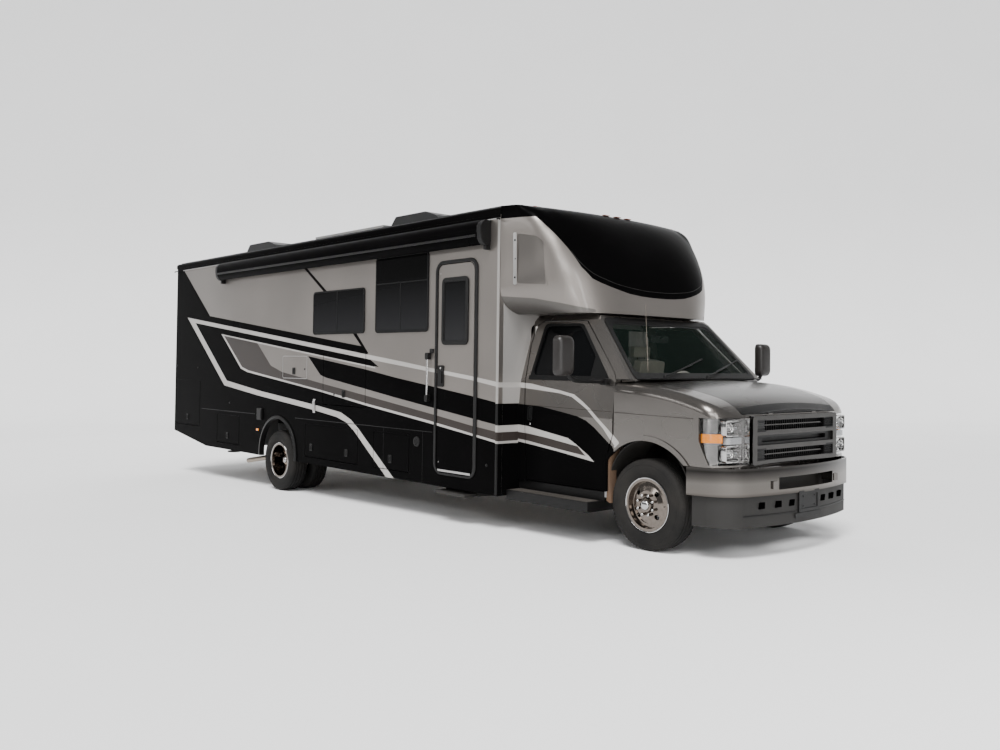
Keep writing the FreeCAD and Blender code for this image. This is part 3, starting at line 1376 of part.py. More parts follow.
def make_tail_lamps():
    """Upright lamps at the corners of the rear wall."""
    items = []
    for side in (-1, 1):
        start, end = side_span(side, d.lamp_tail_inner, d.lamp_tail_outer)
        items.append(box(d.rear_x - d.lamp_tail_depth, d.rear_x - d.seat_gap, start, end,
                         d.lamp_tail_low, d.lamp_tail_high))
    return keep(group(items), "tail_lamps")


def make_entry_step():
    """A frame under the entry well, swinging links, and a tread that stays level."""
    middle = (d.entry_front + d.entry_rear) / 2
    along = (math.cos(math.radians(30)), -math.sin(math.radians(30)))
    across = (-along[1], along[0])
    pin_y = -d.step_pivot_y + d.step_arm * along[0]
    pin_z = d.step_pivot_z + d.step_arm * along[1]
    link_x = d.step_half - 25
    plates = [box(middle - d.step_half - 12, middle + d.step_half + 12, -d.step_pivot_y - 30,
                  -d.step_pivot_y + 120, d.well_floor - d.seat_gap - 8, d.well_floor - d.seat_gap)]
    for sign in (-1, 1):
        x = middle + d.step_half * sign
        plates.append(box(x - 5, x + 5, -d.step_pivot_y - 30, -d.step_pivot_y + 60, d.step_pivot_z - 24,
                          d.well_floor - d.seat_gap - 4))
    hole = rod("X", middle - d.step_half - 20, -d.step_pivot_y, d.step_pivot_z, d.step_shaft_r + d.seat_gap,
               d.step_half * 2 + 40)
    keep(cut(fuse(plates), [hole]), "step_frame")

    links = [rod("X", middle - d.step_half - 10, -d.step_pivot_y, d.step_pivot_z, d.step_shaft_r,
                 d.step_half * 2 + 20)]
    half = 11
    for sign in (-1, 1):
        x = middle + link_x * sign
        corners = []
        for reach, side in ((0, -half), (1, -half), (1, half), (0, half)):
            corners.append((-d.step_pivot_y + d.step_arm * (along[0] * reach) + across[0] * side,
                            d.step_pivot_z + d.step_arm * (along[1] * reach) + across[1] * side))
        links.append(padded_body("link", "YZ", x - 4, x + 4, [corners]))
        links.append(rod("X", x - 20, pin_y, pin_z, d.step_pin_r, 40))
        links.append(rod("X", x - 4, pin_y, pin_z, half + 1, 8))
    keep(fuse(links), "step_links")

    outer = pin_y - 75 - d.step_tread
    tread = [box(middle - link_x + 30, middle + link_x - 30, outer, outer + d.step_tread, pin_z - 38,
                 pin_z - 8)]
    for sign in (-1, 1):
        x = middle + (link_x - 15) * sign
        cheek = box(x - 4, x + 4, outer + 150, pin_y + 16, pin_z - 38, pin_z + 14)
        foot = box(*sorted((x, middle + (link_x - 60) * sign), key=float), outer + 150,
                   outer + d.step_tread, pin_z - 38, pin_z - 28)
        tread.append(cheek)
        tread.append(foot)
    pins = rod("X", middle - d.step_half, pin_y, pin_z, d.step_pin_r + d.seat_gap, d.step_half * 2)
    keep(cut(fuse(tread), [pins]), "step_tread")


def make_receiver():
    """Square tow socket on a cross bar under the rails, with its pin hole."""
    mouth = d.rear_x - 60
    half = d.receiver_out / 2
    bore = d.receiver_in / 2
    middle = d.rail_low - d.receiver_drop - half
    tube = box(mouth, d.rail_rear + 200, -half, half, middle - half, middle + half)
    socket = box(mouth - 10, d.rail_rear + 100, -bore, bore, middle - bore, middle + bore)
    hole = rod("Y", mouth + 60, -half - 5, middle, d.receiver_pin_r, half * 2 + 10)
    bar = box(d.rail_rear + 130, d.rail_rear + 195, -d.rail_y - 30, d.rail_y + 30, middle - 25,
              middle + 25)
    feet = []
    for side in (-1, 1):
        start, end = side_span(side, d.rail_y - 30, d.rail_y + 30)
        feet.append(box(d.rail_rear + 130, d.rail_rear + 195, start, end, middle, d.rail_low - d.seat_gap))
    return keep(cut(fuse([tube, bar] + feet), [socket, hole]), "tow_receiver")


make_frame()
make_engine()
make_rear_axle()
make_springs()
make_front_beams()
for side_name, side_sign in SIDES:
    make_knuckle("knuckle_" + side_name, side_sign)
    make_front_wheel(side_name, side_sign)
    make_rear_wheels(side_name, side_sign)
make_wall("right_wall", -1, RIGHT_WINDOWS)
make_wall("left_wall", 1, LEFT_WINDOWS)
make_rear_wall()
make_roof()
make_floor()
make_bulkhead()
make_windows()
make_lockers()
make_hatches()
make_entry_door()
make_cab()
make_windscreen()
make_cab_doors()
make_mirrors()
make_front_end()
make_grille()
make_bumpers()
make_valance()
make_cap()
make_dashboard()
make_seats()
make_coolers()
make_solar()
make_vents()
make_awning()
make_boards()
make_jacks()
make_exhaust()
make_tank()
make_tail_lamps()
make_entry_step()
make_receiver()
doc.recompute()

# Place everything: rake for the sprung pieces, then centre the whole on the origin
rake = FreeCAD.Placement(V(), FreeCAD.Rotation(V(0, 1, 0), float(d.rake_angle)))
for item, at in parts:
    level = None if at is None else FreeCAD.Placement(V(*[float(size) for size in at]), FreeCAD.Rotation())
    item.Placement = level or rake
doc.recompute()
ends = [item.Shape.optimalBoundingBox(False) for item, at in parts]
middle_x = (min(limits.XMin for limits in ends) + max(limits.XMax for limits in ends)) / 2
for item, at in parts:
    item.Placement = FreeCAD.Placement(item.Placement.Base - V(middle_x, 0, 0), item.Placement.Rotation)
doc.recompute()

for item in doc.Objects:
    if "Invalid" in item.State or "Error" in item.State:
        raise RuntimeError("%s (%s) failed: %s" % (item.Name, item.Label, item.State))
os.makedirs("parts", exist_ok=True)
for item, at in parts:
    if item.Shape.isNull() or not item.Shape.isValid():
        raise RuntimeError("%s has no valid shape" % item.Label)
for item, at in parts:
    item.Shape.exportStep("parts/%s.step" % item.Label)
print(len(parts), "parts, centred by", round(middle_x, 3))
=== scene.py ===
import math
import random

import bmesh
import bpy
from mathutils import Matrix, Vector
from mathutils.bvhtree import BVHTree
from mathutils.interpolate import poly_3d_calc


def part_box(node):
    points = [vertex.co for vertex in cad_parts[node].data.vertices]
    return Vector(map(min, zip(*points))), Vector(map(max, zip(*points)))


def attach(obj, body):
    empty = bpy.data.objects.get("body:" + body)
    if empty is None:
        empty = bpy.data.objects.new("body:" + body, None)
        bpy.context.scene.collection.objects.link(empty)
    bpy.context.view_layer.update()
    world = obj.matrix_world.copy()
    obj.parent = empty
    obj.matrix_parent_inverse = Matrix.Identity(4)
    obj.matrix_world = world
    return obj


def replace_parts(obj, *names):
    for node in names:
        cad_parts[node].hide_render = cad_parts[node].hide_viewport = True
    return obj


# Looks of an overcab motorhome. Metres, +X forward, +Y left, +Z up. Sprung pieces are laid out level
# about the front axle, as in the CAD, and BODY leans and moves them into the frame.

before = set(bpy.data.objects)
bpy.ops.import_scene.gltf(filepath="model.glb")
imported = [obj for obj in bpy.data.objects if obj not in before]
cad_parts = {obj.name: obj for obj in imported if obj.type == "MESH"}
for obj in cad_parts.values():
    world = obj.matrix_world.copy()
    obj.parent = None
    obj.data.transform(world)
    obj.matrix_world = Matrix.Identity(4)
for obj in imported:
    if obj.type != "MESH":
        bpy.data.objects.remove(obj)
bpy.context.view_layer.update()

rim_low, rim_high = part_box("front_rim_right")
SHIFT = (rim_low.x + rim_high.x) / 2
RAKE = math.radians(1.1)
LEVEL = Matrix.Translation((SHIFT, 0, 0))
BODY = LEVEL @ Matrix.Rotation(RAKE, 4, "Y")
UNBODY = BODY.inverted()
SIDES = (("right", -1), ("left", 1))
SIGNS = (-1, 1)

# How far trim stands off the skin it is laid on
LIFT = 0.0002


# Materials

class Look:
    """A node material, with short ways to feed its shader."""

    def __init__(self, name):
        self.material = bpy.data.materials.new(name)
        self.material.use_nodes = True
        self.nodes = self.material.node_tree.nodes
        self.links = self.material.node_tree.links
        self.shader = self.nodes["Principled BSDF"]

    def add(self, kind, source=None, socket="Vector", **values):
        """Make a node, set its sockets and link a source into one of them."""
        made = self.nodes.new("ShaderNode" + kind)
        for name, value in values.items():
            made.inputs[name.replace("_", " ")].default_value = value
        if source is not None:
            self.links.new(source, made.inputs[socket])
        return made

    def coords(self):
        """Object coordinates."""
        return self.add("TexCoord").outputs["Object"]

    def noise(self, scale, detail, stretch=(1, 1, 1)):
        """Noise over object coordinates, with an optional stretch along each axis."""
        mapping = self.add("Mapping", self.coords(), Scale=stretch)
        return self.add("TexNoise", mapping.outputs["Vector"], Scale=scale, Detail=detail).outputs["Fac"]

    def set(self, **values):
        """Constants on the shader's own sockets."""
        for name, value in values.items():
            self.shader.inputs[name.replace("_", " ")].default_value = value

    def feed(self, output, socket):
        """Link an output into one of the shader's sockets."""
        self.links.new(output, self.shader.inputs[socket])

    def ramp(self, source, *stops):
        """Colours over a source, from (place, colour) stops."""
        made = self.add("ValToRGB", source, "Fac")
        while len(made.color_ramp.elements) < len(stops):
            made.color_ramp.elements.new(0.5)
        for element, (place, colour) in zip(made.color_ramp.elements, stops):
            element.position = place
            element.color = (*colour, 1)
        return made.outputs["Color"]

    def base(self, source, *stops):
        """Colour the shader by a source."""
        tone = self.ramp(source, *stops)
        self.feed(tone, "Base Color")
        return tone

    def rough(self, source, low, high):
        """Let the roughness follow a source between two values."""
        span = self.add("MapRange", source, "Value", To_Min=low, To_Max=high)
        self.feed(span.outputs["Result"], "Roughness")

    def bump(self, source, strength, distance):
        """Let a source stand up as fine relief."""
        made = self.add("Bump", source, "Height", Strength=strength, Distance=distance)
        self.feed(made.outputs["Normal"], "Normal")

    def reflection_bands(self, low, high, *stops):
        """Painted reflection: tone by height, in place of the ground and the sky that polished surfaces
        reflect.
        """
        split = self.add("SeparateXYZ", self.coords())
        share = self.add("MapRange", split.outputs["Z"], "Value", From_Min=low, From_Max=high)
        self.base(share.outputs["Result"], *stops)


def shade(colour, factor):
    """A colour made darker or lighter."""
    return tuple(min(1.0, channel * factor) for channel in colour)


def paint(name, colour, metallic, roughness, coat, vary=0.10, gloss=0.5):
    """Clear-coated enamel with fine flake and a slow change of tone."""
    look = Look(name)
    slow = look.noise(0.9, 2.0)
    tone = look.ramp(slow, (0.3, shade(colour, 1 - vary)), (0.7, shade(colour, 1 + vary)))
    sparkle = look.ramp(look.noise(900.0, 1.0), (0.35, (0.86, 0.86, 0.86)), (0.7, (1, 1, 1)))
    mix = look.nodes.new("ShaderNodeMix")
    mix.data_type = "RGBA"
    mix.blend_type = "MULTIPLY"
    mix.inputs["Factor"].default_value = 1.0
    look.links.new(tone, mix.inputs["A"])
    look.links.new(sparkle, mix.inputs["B"])
    look.feed(mix.outputs["Result"], "Base Color")
    look.rough(slow, roughness * 0.9, roughness * 1.15)
    look.set(Metallic=metallic, Coat_Weight=coat, Coat_Roughness=0.08, Specular_IOR_Level=gloss)
    look.bump(look.noise(55.0, 2.0), 0.05, 0.002)
    return look.material


def metal(name, colour, roughness, brushed=(1, 1, 1), scale=14.0, wear=0.25, reflection_bands=None):
    """Bare or plated metal with a light haze and a brushed or cloudy grain. Where asked, its colour is a
    painted reflection by height instead.
    """
    look = Look(name)
    grain = look.noise(scale, 4.0, brushed)
    if reflection_bands:
        look.reflection_bands(*reflection_bands)
    else:
        look.base(grain, (0.3, shade(colour, 1 - wear * 0.5)), (0.7, colour))
    look.rough(grain, roughness * (1 - wear), roughness * (1 + wear))
    look.set(Metallic=1.0)
    return look.material


def plastic(name, colour, roughness, grain=380.0, depth=0.12, dust=None, gloss=0.4):
    """Moulded plastic or rubber with a fine grain, and dust in the low places where asked."""
    look = Look(name)
    slow = look.noise(3.0, 3.0)
    look.base(slow, (0.35, shade(colour, 0.88)), (0.75, dust or shade(colour, 1.12)))
    look.rough(slow, roughness * 0.85, min(1.0, roughness * 1.2))
    look.set(Specular_IOR_Level=gloss)
    look.bump(look.noise(grain, 2.0), depth, 0.0008)
    return look.material


def pane(name, colour, roughness, alpha=1.0, ior=1.3, reflection_bands=None):
    """Window glass, dark and glossy or partly clear. Where asked, its colour is a painted reflection by
    height.
    """
    look = Look(name)
    slow = look.noise(1.6, 2.0)
    if reflection_bands:
        look.reflection_bands(*reflection_bands)
    else:
        look.base(slow, (0.3, shade(colour, 0.9)), (0.75, shade(colour, 1.15)))
    look.rough(slow, roughness, roughness * 1.8)
    look.set(IOR=ior, Alpha=alpha)
    return look.material


def cloth(name, colour, weave):
    """Woven or grained fabric."""
    look = Look(name)
    weft = look.add("TexVoronoi", look.coords(), Scale=weave).outputs["Distance"]
    look.base(look.noise(6.0, 3.0), (0.3, shade(colour, 0.85)), (0.75, shade(colour, 1.08)))
    look.rough(weft, 0.55, 0.85)
    look.set(Sheen_Weight=0.3)
    look.bump(weft, 0.25, 0.0015)
    return look.material


def lamp(name, colour, glow=0.0):
    """Coloured lens with fine flutes."""
    look = Look(name)
    wave = look.add("TexWave", look.coords(), Scale=60.0)
    wave.bands_direction = "Z"
    flute = wave.outputs["Fac"]
    look.feed(look.base(flute, (0.2, shade(colour, 0.8)), (0.8, colour)), "Emission Color")
    look.set(Emission_Strength=glow, Roughness=0.12, Coat_Weight=1.0)
    look.bump(flute, 0.2, 0.001)
    return look.material


SILVER = paint("silver_enamel", (0.235, 0.215, 0.198), 0.82, 0.40, 0.2)
PALE = paint("pale_stripe", (0.46, 0.44, 0.42), 0.35, 0.4, 0.1, gloss=0.3)
# Taupe of the stripes, also used for dark lines painted as the shade of the side creases on the cab and
# wings.
TAUPE_AND_CREASE_SHADE = paint("taupe_stripe_and_crease_shade", (0.036, 0.029, 0.026), 0.3, 0.4, 0.0, gloss=0.2)
BLACK = paint("black_enamel", (0.0022, 0.0021, 0.0022), 0.0, 0.28, 0.0, vary=0.25, gloss=0.008)
CAB = paint("cab_enamel", (0.150, 0.138, 0.127), 0.9, 0.27, 0.45)
# Painted light: a lighter, less metallic copy of the silver for the front face under the overcab and its
# corner mouldings, for the light that falls on it from the front.
LIT_FACE = paint("front_face_enamel_lit", (0.36, 0.345, 0.33), 0.3, 0.36, 0.2)
# Painted shade: a darker copy of the silver for the pressed panel on each flank of the overcab, for the
# shade in its recess.
SHADED_PANEL = paint("panel_enamel_shaded", (0.165, 0.152, 0.141), 0.9, 0.3, 0.4)
SHADE = paint("shaded_enamel", (0.105, 0.098, 0.091), 0.6, 0.45, 0.1)
# Painted reflection: a much darker copy of the cab's paint for the hood, for the dark reflected in its top.
HOOD_DARK_REFLECTION = paint("hood_enamel_dark_reflection", (0.052, 0.048, 0.044), 0.9, 0.27, 0.08)
CHROME = metal("bright_chrome", (0.50, 0.495, 0.49), 0.07, wear=0.3)
# The bumper's chrome takes a painted reflection by height, lightest in its lower part and darkest just under
# its top edge.
BUMPER = metal("bumper_chrome", (0.5, 0.5, 0.5), 0.09, wear=0.3, reflection_bands=(
    0.488, 0.715, (0.0, (0.060, 0.054, 0.048)), (0.12, (0.13, 0.119, 0.109)), (0.45, (0.13, 0.121, 0.112)),
    (0.60, (0.075, 0.070, 0.065)), (0.76, (0.042, 0.039, 0.037)), (0.86, (0.018, 0.017, 0.016)),
    (1.0, (0.055, 0.051, 0.048))))
# Painted reflection: the grille's chrome is made very dark, for the dark things that it reflects.
GRILLE_DARK_REFLECTION = metal("grille_chrome_dark_reflection", (0.060, 0.058, 0.056), 0.10, wear=0.3)
LINER = metal("wheel_liner", (0.19, 0.165, 0.145), 0.11, scale=40.0, wear=0.5)
ALLOY = metal("alloy", (0.48, 0.47, 0.46), 0.32, (1, 60, 60), 9.0)
STEEL = metal("exhaust_steel", (0.36, 0.31, 0.26), 0.42, scale=30.0, wear=0.6)
BUCKET = metal("lamp_reflector", (0.26, 0.255, 0.25), 0.16, scale=60.0, wear=0.5)
MIRROR = metal("mirror_face", (0.9, 0.9, 0.9), 0.02, wear=0.05)
# Painted shade: near-black without gloss, for the dark inside open slots.
SLOT_SHADE = plastic("open_slot_shade", (0.0006, 0.0006, 0.0006), 0.9, gloss=0.0)
TRIM = plastic("black_trim", (0.0042, 0.0040, 0.0040), 0.42, gloss=0.22)
RUBBER = plastic("seal_rubber", (0.004, 0.004, 0.004), 0.62, gloss=0.15)
TYRE = plastic("tyre_rubber", (0.0075, 0.0072, 0.0070), 0.8, 160.0, 0.35, (0.021, 0.019, 0.017), 0.2)
CHASSIS = plastic("chassis_paint", (0.010, 0.0095, 0.009), 0.6, 60.0, 0.2, (0.022, 0.019, 0.016))
CAST = plastic("cast_iron", (0.03, 0.027, 0.024), 0.7, 90.0, 0.4, (0.07, 0.05, 0.035))
LINING = plastic("rust_liner", (0.125, 0.072, 0.040), 0.8, 50.0, 0.4, (0.075, 0.046, 0.030))
GREY = plastic("grey_plastic", (0.017, 0.016, 0.015), 0.6, gloss=0.3)
WHITE = plastic("white_plastic", (0.62, 0.62, 0.60), 0.4, 90.0, 0.06)
SHROUD = plastic("roof_shroud", (0.006, 0.006, 0.0065), 0.45, 60.0, 0.1)
BIN = plastic("storage_bin", (0.09, 0.092, 0.095), 0.65, 80.0, 0.2)
PLY = plastic("floor_ply", (0.36, 0.25, 0.14), 0.6, 40.0, 0.2)
DASH = plastic("dash_vinyl", (0.030, 0.028, 0.027), 0.6, 260.0, 0.25)
SHELL = plastic("mirror_shell", (0.014, 0.012, 0.011), 0.4, 200.0, 0.1)
TREAD = plastic("step_tread_grip", (0.050, 0.044, 0.038), 0.7, 120.0, 0.2)
GRIP = plastic("steering_grip", (0.42, 0.41, 0.37), 0.5, 200.0, 0.2)
DARK_PANE = pane("dark_pane", (0.0028, 0.003, 0.0033), 0.04, ior=1.16)
# The coach panes take a painted reflection: lighter towards their bottom.
COACH_PANE = pane("coach_pane", (0.003, 0.003, 0.0035), 0.04, ior=1.16, reflection_bands=(
    1.55, 2.45, (0.0, (0.030, 0.030, 0.031)), (0.55, (0.014, 0.014, 0.015)), (1.0, (0.003, 0.003, 0.003))))
TINT = pane("green_tint", (0.006, 0.012, 0.009), 0.03, alpha=0.26, ior=1.16)
CELL = pane("solar_cell", (0.008, 0.012, 0.03), 0.12)
COVER = pane("lamp_cover", (0.02, 0.02, 0.02), 0.02, alpha=0.10)
SEAT = cloth("seat_cloth", (0.58, 0.55, 0.46), 900.0)
CURTAIN = cloth("curtain_cloth", (0.62, 0.60, 0.56), 260.0)
AMBER = lamp("amber_lens", (0.85, 0.25, 0.0), 0.12)
MARKER = lamp("marker_lens", (0.28, 0.035, 0.002), 0.04)
RED = lamp("red_lens", (0.45, 0.01, 0.01), 0.08)
CLEAR = lamp("clear_lens", (0.34, 0.35, 0.36))


# Mesh helpers

def add_object(name, data):
    """An object of a mesh, a light or a camera, linked to the scene."""
    made = bpy.data.objects.new(name, data)
    bpy.context.scene.collection.objects.link(made)
    return made


def finish_mesh(name, bm, materials, body, space=BODY, smooth=35.0, bevel=0.0, segments=2):
    """Make an object from a bmesh laid out in one of the spaces, and let it ride on a body."""
    bmesh.ops.recalc_face_normals(bm, faces=bm.faces)
    bm.transform(space)
    mesh = bpy.data.meshes.new(name)
    bm.to_mesh(mesh)
    bm.free()
    for material in materials:
        mesh.materials.append(material)
    made = add_object(name, mesh)
    if bevel:
        edge = made.modifiers.new("edges", "BEVEL")
        edge.width = bevel
        edge.segments = segments
        edge.limit_method = "ANGLE"
        edge.angle_limit = math.radians(35)
    for face in mesh.polygons:
        face.use_smooth = True
    mesh.set_sharp_from_angle(angle=math.radians(smooth))
    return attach(made, body)


def piece(name, body, materials, build, **options):
    """One object from a function that fills a mesh."""
    bm = bmesh.new()
    build(bm)
    return finish_mesh(name, bm, materials, body, **options)


def circle(count, start=0.0):
    """Cosine and sine at even steps round a circle."""
    turns = [start + 2 * math.pi * step / count for step in range(count)]
    return [(math.cos(turn), math.sin(turn)) for turn in turns]


def add_face(bm, verts, material=0):
    """One face in a material."""
    bm.faces.new(verts).material_index = material


def strip(bm, loops, material=0, around=True, joined=False):
    """Faces between neighbouring loops, closed where around, the last met with the first where joined."""
    for here, after in zip(loops, loops[1:] + loops[:1] if joined else loops[1:]):
        for step in range(len(here) if around else len(here) - 1):
            follower = (step + 1) % len(here)
            add_face(bm, (here[step], here[follower], after[follower], after[step]), material)


def bar(bm, lines):
    """A bar between lines that run along it, with both ends shut."""
    strip(bm, lines, around=False, joined=True)
    for end in (0, -1):
        add_face(bm, [line[end] for line in lines])


def lay(bm, outer, inner, place, low, high, material=0):
    """A frame between two closed paths, or a plate where there is no inner one, between two levels."""
    def loop(path, level):
        return [bm.verts.new(place(a, b, level)) for a, b in path]

    if inner is None:
        faces = [loop(outer, low), loop(outer, high)]
        strip(bm, faces, material)
        for face in faces:
            add_face(bm, face, material)
    else:
        strip(bm, [loop(outer, low), loop(outer, high), loop(inner, high), loop(inner, low)], material,
              joined=True)


# Where the two coordinates of a path and its level go, by the axis that the path leaves out
ACROSS = {
    "X": lambda a, b, level: (level, a, b),
    "Y": lambda a, b, level: (a, level, b),
    "Z": lambda a, b, level: (a, b, level),
}


def prism(bm, points, axis, start, end, material=0):
    """A solid with a closed path as its section, along the axis that the path leaves out."""
    lay(bm, points, None, ACROSS[axis], start, end, material)


def ring(bm, outer, inner, axis, start, end, material=0):
    """A frame between two closed paths, along the axis that they leave out."""
    lay(bm, outer, inner, ACROSS[axis], start, end, material)


def block(bm, x0, x1, y0, y1, z0, z1, material=0):
    """A box by its limits."""
    prism(bm, [(x0, z0), (x1, z0), (x1, z1), (x0, z1)], "Y", y0, y1, material)


def side_block(bm, x0, x1, y0, y1, z0, z1, side, material=0):
    """A box on one side of the vehicle, its y limits counted outwards."""
    block(bm, x0, x1, y0 * side, y1 * side, z0, z1, material)


def round_path(a0, b0, a1, b1, radius, steps=6):
    """Closed path of a rectangle with round corners."""
    a0, a1 = sorted((a0, a1))
    points = []
    corners = ((a1 - radius, b1 - radius, 0), (a0 + radius, b1 - radius, 90),
               (a0 + radius, b0 + radius, 180), (a1 - radius, b0 + radius, 270))
    for a, b, turn in corners:
        for step in range(steps + 1):
            angle = math.radians(turn + 90 * step / steps)
            points.append((a + radius * math.cos(angle), b + radius * math.sin(angle)))
    return points


def lathe(bm, profile, centre, segments=64, material=0, axis="Y"):
    """Turn a closed path of (along, radius) about an axis through the centre."""
    place, middle = ACROSS[axis], Vector(centre)
    rows = [[bm.verts.new(middle + Vector(place(radius * c, radius * s, along)))
             for along, radius in profile] for c, s in circle(segments)]
    strip(bm, rows, material, joined=True)
    bmesh.ops.remove_doubles(bm, verts=bm.verts, dist=1e-6)


def tube(bm, points, radius, sides=12, material=0, capped=True):
    """A round bar along a path of points, its section kept square to the path."""
    path = [Vector(point) for point in points]
    sizes = radius if isinstance(radius, list) else [radius] * len(path)
    rings = []
    steps = [(after - here).normalized() for here, after in zip(path, path[1:])]
    for index, (point, size) in enumerate(zip(path, sizes)):
        along = sum(steps[max(0, index - 1):index + 1], Vector()).normalized()
        up = Vector((0, 0, 1)) if abs(along.z) < 0.9 else Vector((1, 0, 0))
        over = along.cross(up).normalized()
        up = over.cross(along).normalized()
        rings.append([bm.verts.new(point + (over * c + up * s) * size) for c, s in circle(sides)])
    strip(bm, rings, material)
    if capped:
        for end in (0, -1):
            add_face(bm, rings[end], material)


def smooth_path(points, steps=6):
    """Points along a curve that passes through the given ones."""
    path = [Vector(point) for point in points]
    out = []
    for index in range(len(path) - 1):
        p0 = path[max(0, index - 1)]
        p1, p2 = path[index], path[index + 1]
        p3 = path[min(len(path) - 1, index + 2)]
        for step in range(steps):
            t = step / steps
            out.append(0.5 * ((2 * p1) + (p2 - p0) * t + (2 * p0 - 5 * p1 + 4 * p2 - p3) * t * t
                              + (3 * p1 - p0 - 3 * p2 + p3) * t ** 3))
    out.append(path[-1])
    return out


def dome(bm, centre, radius, height, axis, sign, material=0, segments=20, rings=5):
    """A shallow round cap, such as a bolt head or a lamp."""
    turns = [math.pi / 2 * step / rings for step in range(rings)]
    profile = [(height * math.sin(turn) * sign, radius * math.cos(turn)) for turn in turns]
    lathe(bm, profile + [(height * sign, 0.0), (0.0, 0.0)], centre, segments, material, axis)


def between(rows, at):
    """Read a table of (place, value) at a place, straight between its rows."""
    for (p0, v0), (p1, v1) in zip(rows, rows[1:]):
        if at <= p1:
            return v0 + (v1 - v0) * (at - p0) / (p1 - p0)
    return rows[-1][1]


def rounded_polygon(points, radius, steps=5):
    """A closed path with its corners rounded."""
    out = []
    for index, point in enumerate(points):
        here = Vector(point)
        before = (Vector(points[index - 1]) - here).normalized()
        after = (Vector(points[(index + 1) % len(points)]) - here).normalized()
        for step in range(steps + 1):
            t = step / steps
            start = here + before * radius
            end = here + after * radius
            out.append(tuple(start * (1 - t) ** 2 + here * 2 * t * (1 - t) + end * t * t))
    return out


def grown_polygon(points, reach):
    """A closed path moved outwards, its corners kept."""
    area = sum(a0 * b1 - a1 * b0 for (a0, b0), (a1, b1) in zip(points, points[1:] + points[:1]))
    sign = 1 if area > 0 else -1
    out = []
    for index, point in enumerate(points):
        here = Vector(point)
        before = (here - Vector(points[index - 1])).normalized()
        after = (Vector(points[(index + 1) % len(points)]) - here).normalized()
        normals = [Vector((way.y, -way.x)) * sign for way in (before, after)]
        mitre = (normals[0] + normals[1]) / (1 + normals[0].dot(normals[1]))
        out.append(tuple(here + mitre * reach))
    return out


# Colour fields, as closed paths seen along an axis. A later field lies on top of an earlier one.

BAND_TOP = [(-3.712, 1.425), (-3.169, 1.349), (-2.43, 1.260), (-1.896, 1.195), (-1.50, 1.140)]
BAND_LOW = [(-1.50, 0.937), (-1.891, 0.984), (-2.524, 1.061), (-3.163, 1.139), (-3.706, 1.211)]
PALE_LOW = [(-4.661, 1.254), (-3.704, 1.140), (-3.161, 1.073), (-2.553, 1.0), (-1.889, 0.914),
            (-1.50, 0.875)]
TAUPE_LOW = [(-4.658, 1.174), (-4.134, 1.111), (-3.701, 1.055), (-3.159, 0.994), (-2.551, 0.927),
             (-1.888, 0.841), (-1.50, 0.793)]
LINE_LOW = [(-4.658, 1.153), (-4.133, 1.086), (-3.70, 1.031), (-3.158, 0.971), (-2.55, 0.901),
            (-1.887, 0.820), (-1.50, 0.770)]

COACH_FIELDS = [
    (PALE, [(-7.316, 1.870), (-3.453, 1.445), (-1.50, 1.140)] + LINE_LOW[::-1]
     + [(-6.517, 1.355), (-6.704, 1.399)]),
    (TAUPE_AND_CREASE_SHADE, [(-7.235, 1.845), (-6.247, 1.735), (-5.87, 1.446), (-5.573, 1.369)] + PALE_LOW + TAUPE_LOW[::-1]
     + [(-6.49, 1.378), (-6.67, 1.42)]),
    (SILVER, [(-6.247, 1.735), (-4.783, 1.575), (-3.45, 1.430), (-1.50, 1.140)] + PALE_LOW[::-1]
     + [(-5.573, 1.369), (-5.87, 1.446)]),
    (SILVER, [(-8.633, 2.849), (-7.694, 2.131), (-3.755, 1.674), (-3.47, 1.392)] + BAND_TOP[1:]
     + [(-1.50, 2.849)]),
    (BLACK, [(-4.946, 1.567)] + BAND_TOP + BAND_LOW + [(-4.534, 1.319), (-4.656, 1.347)]),
    (BLACK, [(-3.90, 1.600), (-3.698, 1.570), (-3.453, 1.452), (-3.90, 1.500)]),
    (BLACK, [(-5.069, 2.621), (-5.007, 2.623), (-4.553, 2.330), (-3.896, 1.819), (-3.655, 1.598),
             (-3.70, 1.596), (-3.973, 1.820), (-4.622, 2.328)]),
    (PALE, [(-8.466, 2.133), (-6.556, 1.917), (-5.008, 1.737), (-3.683, 1.588), (-3.008, 1.511),
            (-2.474, 1.445), (-1.90, 1.382), (-1.50, 1.330), (-1.50, 1.286), (-1.899, 1.344),
            (-2.473, 1.408), (-3.007, 1.465), (-3.704, 1.542), (-5.006, 1.689), (-6.553, 1.861),
            (-8.186, 2.046)]),
    (PALE, [(-8.466, 2.133), (-8.186, 2.046), (-7.123, 1.229), (-6.123, 1.114), (-4.761, 0.992),
            (-4.20, 0.932), (-3.991, 0.862), (-3.842, 0.776), (-3.13, 0.28), (-3.273, 0.28),
            (-3.929, 0.745), (-4.087, 0.827), (-4.288, 0.875), (-4.813, 0.934), (-6.186, 1.055),
            (-7.193, 1.163)]),
]

